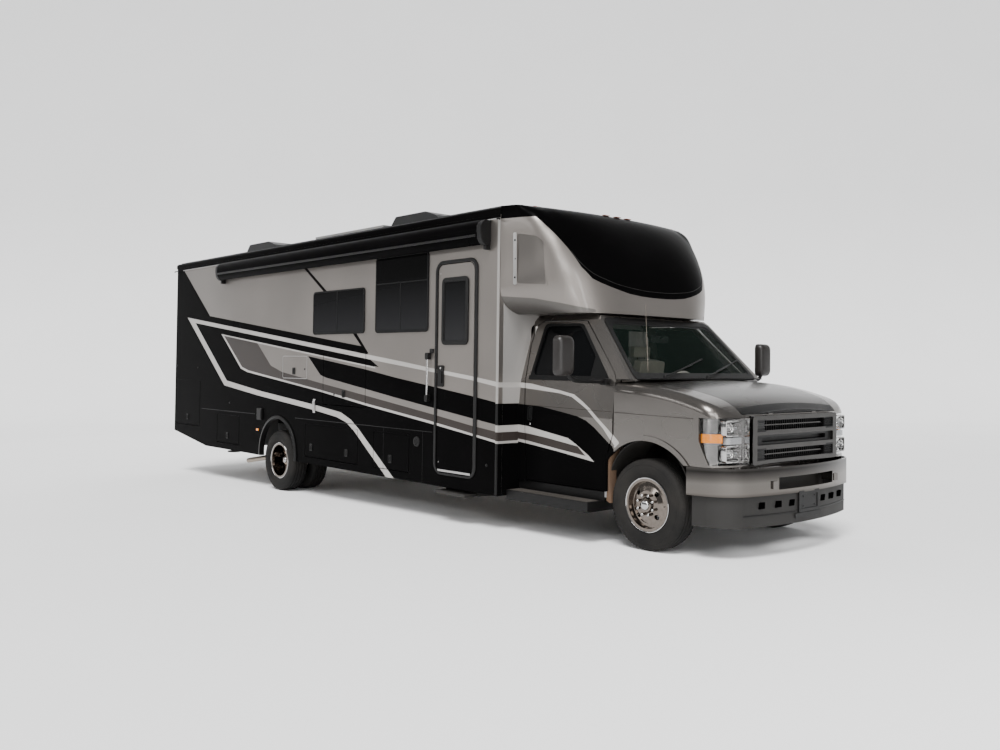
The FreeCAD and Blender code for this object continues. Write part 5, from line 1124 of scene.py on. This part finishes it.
def mirror_head(bm, side):
    """Mirror shell with a rounded front, its glasses at the back and the arm to the door."""
    loops = []
    for x, shrink in ((-0.525, 0.010), (-0.519, 0.0), (-0.490, 0.0), (-0.462, 0.006), (-0.446, 0.016),
                      (-0.438, 0.030), (-0.4352, 0.048)):
        path = round_path(1.365 + shrink, 1.410 + shrink, 1.555 - shrink, 1.740 - shrink, 0.046, 8)
        loops.append([bm.verts.new((x, y * side, z)) for y, z in path])
    strip(bm, loops)
    for end in (0, -1):
        add_face(bm, loops[end])
    for z0, z1 in ((1.520, 1.722), (1.430, 1.508)):
        prism(bm, round_path(1.383 * side, z0, 1.537 * side, z1, 0.018), "X", -0.5262, -0.5246, 2)
    tube(bm, smooth_path([(-0.452, 0.995 * side, 1.362), (-0.456, 1.18 * side, 1.366),
                          (-0.470, 1.350 * side, 1.376), (-0.480, 1.420 * side, 1.425)], 4), 0.019, 14, 1)
    prism(bm, round_path(-0.486, 1.334, -0.408, 1.392, 0.016), "Y", 0.972 * side, 1.024 * side, 1)


for name, side in SIDES:
    made = piece("mirror_head_" + name, "cab_door_" + name, [SHELL, TRIM, MIRROR],
                 lambda bm: mirror_head(bm, side), smooth=45, bevel=0.001)
    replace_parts(made, "mirror_" + name)


def sills_and_treads(bm):
    """Dark plate under each cab door, partly its black sill panel and partly painted shade that hides the
    underside of the cab, and the ribbed tread of its running board.
    """
    for side in SIGNS:
        side_block(bm, -1.512, -0.455, 0.979, 0.985, 0.3505, 0.429, side)
        side_block(bm, -1.470, -0.500, 1.010, 1.150, 0.3503, 0.3523, side, 1)
        for step in range(7):
            y = 1.020 + 0.02 * step
            side_block(bm, -1.460, -0.510, y, y + 0.008, 0.3523, 0.3553, side, 1)


piece("sills_and_treads", "chassis", [TRIM, TREAD], sills_and_treads, bevel=0.0008)


# Nose

NOSE_END = 0.730
LAMP_REAR, LAMP_SLANT, LAMP_INNER = 0.520, 0.600, 0.660
LAMP_LOW, LAMP_RISE, LAMP_HIGH = 0.746, 0.185, 1.104


def lamp_plan(rear, inner_y, inset):
    """Plan points along the nose from the lamp's rear edge round to its inner edge."""
    points = []
    for step in range(11):
        x = rear + (NOSE_END - rear) * step / 10
        points.append((x - inset, between(NOSE_HALF, x) - inset * 0.6))
    y_end = points[-1][1]
    for step in range(1, 4):
        points.append((NOSE_END + 0.006 * step - inset, y_end + (inner_y - y_end) * step / 3))
    return points


def lamp_foot(x):
    """Height of the lamp's lower edge at a station. It rises to the rear."""
    return LAMP_LOW + LAMP_RISE * min(1.0, max(0.0, (LAMP_SLANT - x) / (LAMP_SLANT - LAMP_REAR)))


def headlamp(bm, side):
    """Reflector bucket, open at its front."""
    front = lamp_plan(LAMP_REAR + 0.002, LAMP_INNER + 0.001, 0.0015)
    back = lamp_plan(LAMP_REAR + 0.012, LAMP_INNER + 0.004, 0.045)
    lines = []
    for points, shrink in ((back, 0.010), (front, 0.0)):
        lines.append([bm.verts.new((x, y * side, lamp_foot(front_x) + shrink))
                      for (x, y), (front_x, _) in zip(points, front)])
        lines.append([bm.verts.new((x, y * side, LAMP_HIGH - shrink)) for x, y in points])
    back_foot, back_top, foot, top = lines
    for pair, material in (((back_foot, back_top), 0), ((back_foot, foot), 1), ((back_top, top), 1)):
        strip(bm, pair, material, around=False)
    for end in (0, -1):
        add_face(bm, (back_foot[end], foot[end], top[end], back_top[end]), 1)


def lamp_cover(bm, side):
    """The lamp's clear outer cover."""
    outer, inner = [lamp_plan(LAMP_REAR + 0.002, LAMP_INNER + 0.001, inset) for inset in (0.001, 0.004)]
    bar(bm, [[bm.verts.new((x, y * side, LAMP_HIGH if high else lamp_foot(x))) for x, y in points]
             for points, high in ((outer, False), (outer, True), (inner, True), (inner, False))])


LAMP_DISH = [(0.0, 0.050), (-0.012, 0.040), (-0.022, 0.022), (-0.025, 0.0), (-0.027, 0.0), (-0.024, 0.024),
             (-0.014, 0.043), (-0.002, 0.053)]


def lamp_inside(bm, side):
    """Two chambers with their dishes, bulbs and ribs, and the clear block between them."""
    for low, high in ((0.765, 0.895), (0.965, 1.088)):
        ring(bm, round_path(0.680 * side, low, 0.905 * side, high, 0.020),
             round_path(0.688 * side, low + 0.008, 0.897 * side, high - 0.008, 0.016), "X", 0.655, 0.700)
        for y in (0.738, 0.848):
            lathe(bm, LAMP_DISH, (0.690, y * side, (low + high) / 2), 28, 0, "X")
            dome(bm, (0.667, y * side, (low + high) / 2), 0.012, 0.016, "X", 1, 1)
        for number in range(6):
            z = low + 0.014 + (high - low - 0.028) * number / 5
            side_block(bm, 0.690, 0.694, 0.690, 0.895, z - 0.0012, z + 0.0012, side)
    side_block(bm, 0.660, 0.694, 0.690, 0.880, 0.905, 0.955, side, 1)


def lamp_amber(bm, side):
    """Amber lens behind the cover, along the side of the nose."""
    front, back = [lamp_plan(0.548, 0.0, inset)[:8] for inset in (0.010, 0.028)]
    bar(bm, [[bm.verts.new((x, y * side, z)) for x, y in path]
             for path, z in ((front, 0.915), (front, 0.982), (back, 0.982), (back, 0.915))])


for name, side in SIDES:
    made = piece("headlamp_" + name, "chassis", [BUCKET, CHROME], lambda bm: headlamp(bm, side), smooth=40)
    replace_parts(made, "headlamps")
    piece("headlamp_cover_" + name, "chassis", [COVER], lambda bm: lamp_cover(bm, side), smooth=40)
    piece("headlamp_inside_" + name, "chassis", [CHROME, CLEAR], lambda bm: lamp_inside(bm, side), smooth=40)
    piece("headlamp_amber_" + name, "chassis", [AMBER], lambda bm: lamp_amber(bm, side), smooth=40)


def grille_back(bm):
    """Dark mesh behind the grille's rows, with louvres."""
    block(bm, 0.7000, 0.7045, -0.60, 0.60, 0.745, 1.110)
    for number in range(34):
        y = -0.545 + 0.033 * number
        for low, high in ((0.778, 0.852), (1.003, 1.077)):
            block(bm, 0.7045, 0.7165, y, y + 0.006, low, high)


piece("grille_mesh", "chassis", [TRIM], grille_back)

GRILLE_ROWS = [(0.773, 0.8594), (0.9963, 1.082)]
GRILLE_ENDS = [(TRIM, [(a, low - 0.004), (b, low - 0.004), (b, high + 0.004), (a, high + 0.004)])
               for low, high in GRILLE_ROWS for a, b in ((-0.579, -0.456), (0.456, 0.579))]
GRILLE_NEST = [(TRIM, [(-0.585, 0.885), (0.585, 0.885), (0.585, 0.972), (-0.585, 0.972)])]
painted("grille_skin", "grille", "chassis", GRILLE_DARK_REFLECTION,
        [("X", GRILLE_ENDS, lambda face: face.calc_center_median().x > 0.708),
         ("X", GRILLE_NEST, lambda face: face.calc_center_median().x < 0.745)], smooth=30.0, bevel=0.0015)


def valance_front(y, lift):
    """A point on the curved front of the lower valance."""
    return 0.868 - 0.103 * (y / 0.77) ** 2 + lift, y


def valance_trims(bm):
    """Slots of the lower valance, as near-black blocks painted for the shade inside them, the ledge across
    it and the blank plate bracket.
    """
    across = [-0.77 + 0.07 * step for step in range(23)]
    ledge = [valance_front(y, 0.005) for y in across] + [valance_front(y, -0.004) for y in reversed(across)]
    prism(bm, ledge, "Z", 0.352, 0.360)
    for y0, y1 in ((-0.62, -0.51), (-0.44, -0.33), (-0.27, -0.20), (0.20, 0.27), (0.33, 0.44), (0.51, 0.62)):
        x, _ = valance_front((y0 + y1) / 2, 0.0)
        prism(bm, [(y0, 0.405), (y1, 0.405), (y1 + 0.010, 0.455), (y0 + 0.010, 0.455)], "X", x - 0.012,
              x + 0.0035, 1)
    ring(bm, round_path(-0.155, 0.345, 0.155, 0.515, 0.012), round_path(-0.125, 0.372, 0.125, 0.488, 0.008),
         "X", 0.869, 0.879)
    block(bm, 0.869, 0.874, -0.126, 0.126, 0.371, 0.489)
    for y in (-0.085, 0.085):
        for z in (0.392, 0.468):
            dome(bm, (0.874, y, z), 0.008, 0.005, "X", 1)
    block(bm, 0.868, 0.872, -0.20, 0.20, 0.300, 0.340)


piece("valance_trims", "chassis", [TRIM, SLOT_SHADE], valance_trims, bevel=0.001)

# The overcab's surface, to lay trim on
cap = bmesh.new()
cap.from_mesh(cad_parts["front_cap"].data)
cap.transform(UNBODY)
CAP_SURFACE = BVHTree.FromBMesh(cap)
cap.free()


def cap_side_panel(bm):
    """Raised rim and screwed strip of the service panel on each flank of the overcab."""
    screwed = [(-1.385, 2.225), (-1.350, 2.225), (-1.350, 2.700), (-1.385, 2.700)]
    for side in SIGNS:
        def place(x, z, lift):
            spot, normal, *_ = CAP_SURFACE.ray_cast(Vector((x, 1.6 * side, z)), Vector((0, -side, 0)))
            return spot + normal * math.copysign(lift, normal.y * side)

        lay(bm, rounded_polygon(grown_polygon(CAP_PANEL, 0.010), 0.020), rounded_polygon(CAP_PANEL, 0.020),
            place, 0.0, 0.006)
        lay(bm, rounded_polygon(screwed, 0.015), None, place, 0.0005, 0.008, 1)
        for z in (2.29, 2.46, 2.63):
            dome(bm, place(-1.3675, z, 0.0105), 0.010, 0.004, "Y", side, 2)


piece("cap_side_panels", "chassis", [SILVER, ALLOY, TRIM], cap_side_panel, smooth=40)


def cap_seams(bm):
    """Fine seal line inside the dark front of the overcab."""
    points = [(0.950, 2.517), (0.906, 2.427), (0.806, 2.324), (0.65, 2.262), (0.492, 2.224), (0.196, 2.195),
              (0.0, 2.192)]
    path = []
    for y, z in points + [(-y, z) for y, z in reversed(points[:-1])]:
        place = CAP_SURFACE.ray_cast(Vector((0.5, y, z)), Vector((-1, 0, 0)))[0]
        path.append(place + Vector((0.001, 0, 0)))
    tube(bm, smooth_path(path, 5), 0.0022, 6)


piece("cap_seams", "chassis", [GREY], cap_seams, smooth=60)


def cap_markers(bm):
    """Roof marker lamps."""
    for x, y in ((-1.2050, -0.16), (-1.2000, 0.0), (-1.2050, 0.16), (-1.330, -0.98), (-1.330, 0.98)):
        prism(bm, round_path(x - 0.020, y - 0.045, x + 0.020, y + 0.045, 0.014), "Z", 2.9555, 2.9600)


piece("cap_markers", "chassis", [MARKER], cap_markers, bevel=0.001)


# Wheels

TYRE_R = 0.372
FRONT_Y = 0.8815
REAR_X, REAR_Y, TWIN = -5.650, 0.990, 0.145

# One half of the tyre's section from the bead to the middle, as (along, radius, whether sipes cut it)
TYRE_HALF = (
    (0.084, 0.2035, 0), (0.086, 0.226, 0), (0.099, 0.240, 0), (0.108, 0.264, 0), (0.1105, 0.290, 0),
    (0.109, 0.312, 0), (0.1065, 0.322, 0), (0.1085, 0.326, 0), (0.104, 0.342, 0), (0.099, 0.356, 1),
    (0.090, 0.3655, 1), (0.070, 0.370, 1), (0.064, 0.3705, 0), (0.062, 0.362, 0), (0.056, 0.362, 0),
    (0.054, 0.3712, 0), (0.026, 0.3718, 0), (0.024, 0.3625, 0), (0.018, 0.3625, 0), (0.016, TYRE_R, 0),
)
TYRE_SEGMENTS = 216
SIPE_DEPTH = 0.0045
LUG_CIRCLE = 0.0825
NUT_LIFT = 0.0222


def tyre_mesh(bm, centre):
    """Highway tyre: four grooves, sipes along the shoulders and raised sidewall rings."""
    profile = [(-along, radius, mark) for along, radius, mark in TYRE_HALF] + list(reversed(TYRE_HALF))
    rows = []
    for step, (c, s) in enumerate(circle(TYRE_SEGMENTS)):
        drop = 0.0 if step % 3 else SIPE_DEPTH
        rows.append([bm.verts.new(Vector(centre) + Vector(((radius - drop * mark) * c, along,
                                                           (radius - drop * mark) * s)))
                     for along, radius, mark in profile])
    strip(bm, rows, joined=True)


for name, side in SIDES:
    made = piece("front_tyre_tread_" + name, "front_wheel_" + name, [TYRE],
                 lambda bm: tyre_mesh(bm, (0.0, FRONT_Y * side, TYRE_R)), space=LEVEL, smooth=40)
    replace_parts(made, "front_tyre_" + name)
    for place, offset in (("outer", TWIN), ("inner", -TWIN)):
        made = piece("rear_tyre_%s_%s" % (place, name), "rear_wheels_" + name, [TYRE],
                     lambda bm: tyre_mesh(bm, (REAR_X, (REAR_Y + offset) * side, TYRE_R)), space=LEVEL,
                     smooth=40)
        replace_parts(made, "rear_tyres_" + name)


def hex_nut(bm, centre, radius, height, side, turn):
    """A domed lug nut on a liner."""
    cx, cy, cz = centre
    strip(bm, [[bm.verts.new((cx + radius * c, y, cz + radius * s)) for c, s in circle(6, turn)]
               for y in (cy, cy + height * side)])
    dome(bm, (cx, cy + height * side, cz), radius * 0.95, radius * 0.55, "Y", side, 0, 14, 4)


def wheel_trims(bm, centre, side, face, lug_foot, hub_face):
    """Lug nuts, hub cap, liner ring and valve of a wheel."""
    cx, cy, cz = centre
    for number in range(8):
        turn = math.radians(22.5 + 45 * number)
        place = (cx + LUG_CIRCLE * math.cos(turn), cy + (lug_foot + NUT_LIFT) * side,
                 cz + LUG_CIRCLE * math.sin(turn))
        hex_nut(bm, place, 0.0125, 0.010, side, turn)
    hub = ((0.0, 0.040), (0.010, 0.037), (0.016, 0.028), (0.017, 0.0), (0.0, 0.0))
    rim = ((-0.010, 0.205), (0.001, 0.214), (0.003, 0.219), (0.0005, 0.2235), (-0.006, 0.2235),
           (-0.012, 0.209))
    for start, profile, segments in ((hub_face, hub, 48), (face, rim, 96)):
        lathe(bm, [(side * (start + along), radius) for along, radius in profile], centre, segments)
    tube(bm, [(cx + 0.165, cy + (face - 0.040) * side, cz), (cx + 0.172, cy + (face - 0.008) * side, cz)],
         0.004, 8, 1)


for name, side in SIDES:
    piece("front_wheel_trims_" + name, "front_wheel_" + name, [CHROME, TRIM],
          lambda bm: wheel_trims(bm, (0.0, FRONT_Y * side, TYRE_R), side, 0.092, 0.082, 0.1122),
          space=LEVEL, smooth=40)
    piece("rear_wheel_trims_" + name, "rear_wheels_" + name, [CHROME, TRIM],
          lambda bm: wheel_trims(bm, (REAR_X, REAR_Y * side, TYRE_R), side, 0.237, 0.016, 0.1602),
          space=LEVEL, smooth=40)


# Inside of the cab

SEAT_Y = 0.58


def pillow(name, body, places, size, tilt, seed):
    """A padded block with crowned faces and soft folds."""
    bm = bmesh.new()
    bmesh.ops.create_cube(bm, size=1.0)
    bmesh.ops.subdivide_edges(bm, edges=bm.edges[:], cuts=9, use_grid_fill=True)
    sx, sy, sz = size
    rng = random.Random(seed)
    waves = [(rng.uniform(6, 14), rng.uniform(6, 14), rng.uniform(0, 6.28)) for _ in range(4)]
    for vert in bm.verts:
        a, b, c = (2 * value for value in vert.co)
        crown = (1 - a * a) * (1 - b * b)
        squeeze = 1 - 0.10 * (abs(a) ** 6 + abs(b) ** 6) / 2
        x, y, z = a * sx / 2, b * sy / 2, c * sz / 2 * squeeze
        corner = 1 - 0.035 * (a * a) * (b * b)
        z += math.copysign(crown * 0.014, c) if abs(c) > 0.2 else 0
        for fx, fy, phase in waves:
            z += 0.0008 * math.sin(fx * a + fy * b + phase)
        vert.co = (x * corner, y * corner, z)
    bmesh.ops.rotate(bm, verts=bm.verts, cent=(0, 0, 0), matrix=Matrix.Rotation(tilt, 3, "Y"))
    bmesh.ops.translate(bm, verts=bm.verts, vec=places)
    made = finish_mesh(name, bm, [SEAT], body, smooth=80)
    soft = made.modifiers.new("soft", "SUBSURF")
    soft.levels = 1
    soft.render_levels = 1
    return made


for name, side in SIDES:
    for part, x, z, size, tilt, seed in (
            ("cushion", -1.020, 0.935, (0.42, 0.395, 0.130), -3, 1),
            ("backrest", -1.300, 1.290, (0.56, 0.395, 0.110), 102, 2),
            ("headrest", -1.374, 1.645, (0.115, 0.26, 0.060), 94, 3)):
        made = pillow("seat_%s_%s" % (part, name), "chassis", (x, SEAT_Y * side, z), size,
                      math.radians(tilt), seed + (10 if side > 0 else 0))
        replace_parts(made, "cab_seats")


def seat_frames(bm):
    """Pedestals, recliner covers and headrest posts of the cab seats."""
    for side in SIGNS:
        y = SEAT_Y * side
        block(bm, -1.205, -0.855, y - 0.16, y + 0.16, 0.6585, 0.86)
        block(bm, -1.215, -0.835, y - 0.185, y + 0.185, 0.855, 0.872)
        for edge in SIGNS:
            prism(bm, [(-1.290, 0.900), (-1.180, 0.900), (-1.150, 0.960), (-1.215, 1.060), (-1.290, 1.040)],
                  "Y", y + 0.1985 * edge, y + 0.2000 * edge)
            tube(bm, [(-1.352, y + 0.06 * edge, 1.545), (-1.368, y + 0.06 * edge, 1.605)], 0.006, 8, 1)


piece("seat_frames", "chassis", [DASH, STEEL], seat_frames, bevel=0.004)


def inner_mirror(bm):
    """Rear-view mirror on its stalk behind the windscreen."""
    stalk = on_screen(0.0, 1.80, -0.02)
    tube(bm, [stalk, stalk + Vector((-0.06, 0, -0.03))], 0.008, 8)
    start = stalk.x - 0.085
    prism(bm, round_path(-0.13, stalk.z - 0.07, 0.13, stalk.z - 0.005, 0.02), "X", start, start + 0.022)


piece("inner_mirror", "chassis", [TRIM], inner_mirror, bevel=0.002)

RING_MIDDLE, RING_AXIS = Vector((-0.7850, 0.4200, 1.2726)), Vector((-0.8829, 0.0, 0.4695))
RING_R = 0.190


def steering_trims(bm):
    """Cover and hub pad of the steering wheel."""
    level = Vector((0, 1, 0))
    upward = RING_AXIS.cross(level)
    hoop = [RING_MIDDLE + (level * c + upward * s) * RING_R for c, s in circle(60)]
    tube(bm, hoop + hoop[:1], 0.0175, 14, capped=False)
    pad = [RING_MIDDLE + level * across + RING_AXIS * 0.008 for across in (-0.17, -0.05, 0.05, 0.17)]
    tube(bm, pad, [0.012, 0.042, 0.042, 0.012], 18, 1)


piece("steering_trims", "chassis", [GRIP, DASH], steering_trims, smooth=60)


def dash_trims(bm):
    """Hood over the gauges and the outlets of the dashboard."""
    prism(bm, [(-0.62, 1.250), (-0.44, 1.345), (-0.40, 1.345), (-0.40, 1.335), (-0.62, 1.238)], "Y", 0.26,
          0.60)
    for y0, y1 in ((-0.78, -0.60), (-0.12, 0.04), (0.10, 0.22), (0.64, 0.80)):
        prism(bm, round_path(y0, 1.175, y1, 1.232, 0.012), "X", -0.655, -0.648)


piece("dash_trims", "chassis", [TRIM], dash_trims, bevel=0.002)


def curtain(bm):
    """Pleated curtain at the back of the cab, drawn to both sides."""
    for side in SIGNS:
        pleats = [(-1.462 + 0.012 * math.sin(step * math.pi / 2.5), side * (0.50 + 0.34 * step / 40))
                  for step in range(41)]
        bar(bm, [[bm.verts.new((x - back, y, z)) for x, y in pleats]
                 for back, z in ((0.0, 0.98), (0.0, 1.86), (0.003, 1.86), (0.003, 0.98))])


piece("curtains", "chassis", [CURTAIN], curtain, smooth=70)


# Floor, light and camera

def aim(made, way):
    """Turn a light or the camera to look along a way."""
    made.rotation_mode = "QUATERNION"
    made.rotation_quaternion = way.to_track_quat("-Z", "Y")


def add_area(name, place, target, size, power):
    """A rectangular lamp that looks at a target."""
    light = bpy.data.lights.new(name, "AREA")
    light.shape = "RECTANGLE"
    light.size, light.size_y = size
    light.energy = power
    made = add_object(name, light)
    made.location = place
    aim(made, Vector(target) - Vector(place))


def studio_floor():
    """Pale floor that curves up to a wall behind the vehicle."""
    look = Look("studio_floor")
    look.base(look.noise(0.35, 2.0), (0.3, (0.90, 0.90, 0.90)), (0.7, (0.92, 0.92, 0.92)))
    look.set(Roughness=0.9, Specular_IOR_Level=0.1)
    reach, depth, radius, height = 60.0, 26.0, 9.0, 34.0
    turns = [math.radians(90) * step / 16 for step in range(17)]
    profile = [(-40.0, 0.0)] + [(depth - radius + radius * math.sin(turn), radius - radius * math.cos(turn))
                                for turn in turns] + [(depth, height)]
    bm = bmesh.new()
    sweep = Matrix.Rotation(math.radians(48.4), 4, "Z")
    strip(bm, [[bm.verts.new(sweep @ Vector((across, along, up))) for across in (-reach, reach)]
               for along, up in profile], around=False)
    mesh = bpy.data.meshes.new("studio_floor")
    bm.to_mesh(mesh)
    bm.free()
    mesh.materials.append(look.material)
    mesh.shade_smooth()
    made = add_object("studio_floor", mesh)


studio_floor()

world = bpy.data.worlds.new("studio")
bpy.context.scene.world = world
world.use_nodes = True
world.node_tree.nodes["Background"].inputs["Color"].default_value = (0.93, 0.94, 0.95, 1)
world.node_tree.nodes["Background"].inputs["Strength"].default_value = 0.32

sun = bpy.data.lights.new("sky_sun", "SUN")
sun.energy = 4.6
sun.angle = math.radians(25)
aim(add_object("sky_sun", sun), Vector((-0.30, 0.42, -0.86)))

add_area("key_front", (13.0, -9.0, 7.5), (3.0, -0.5, 1.3), (6.0, 3.0), 500)
add_area("side_strip", (-4.0, -13.0, 6.5), (-1.0, -1.2, 1.8), (14.0, 1.6), 420)
add_area("corner_strip", (9.5, -2.5, 3.0), (2.5, -1.0, 1.6), (0.5, 4.0), 90)
add_area("low_fill", (11.0, -7.0, 1.6), (2.6, -1.2, 1.3), (2.5, 1.6), 130)
add_area("back_rim", (-11.0, 7.0, 6.0), (-2.0, 0.0, 1.5), (6.0, 4.0), 200)

# The photograph's camera: the picture's size and centre in pixels, its focal length as a share of the
# width, its place and its turn
WIDTH, HEIGHT = 1000.0, 750.0
CENTRE_X, CENTRE_Y = 497.6, 343.7
FOCAL = 0.9214
SENSOR = 36.0
camera_data = bpy.data.cameras.new("camera")
camera_data.sensor_width = SENSOR
camera_data.lens = FOCAL * SENSOR
camera_data.shift_x = (WIDTH / 2 - CENTRE_X) / WIDTH
camera_data.shift_y = (CENTRE_Y - HEIGHT / 2) / WIDTH
camera_data.clip_end = 300.0
azimuth, pitch = math.radians(48.421), math.radians(2.125)
camera = add_object("camera", camera_data)
camera.location = Vector((4.8218 + SHIFT, -6.8664, 1.4021))
aim(camera, Vector((-math.sin(azimuth) * math.cos(pitch), math.cos(azimuth) * math.cos(pitch),
                    math.sin(pitch))))
bpy.context.scene.camera = camera
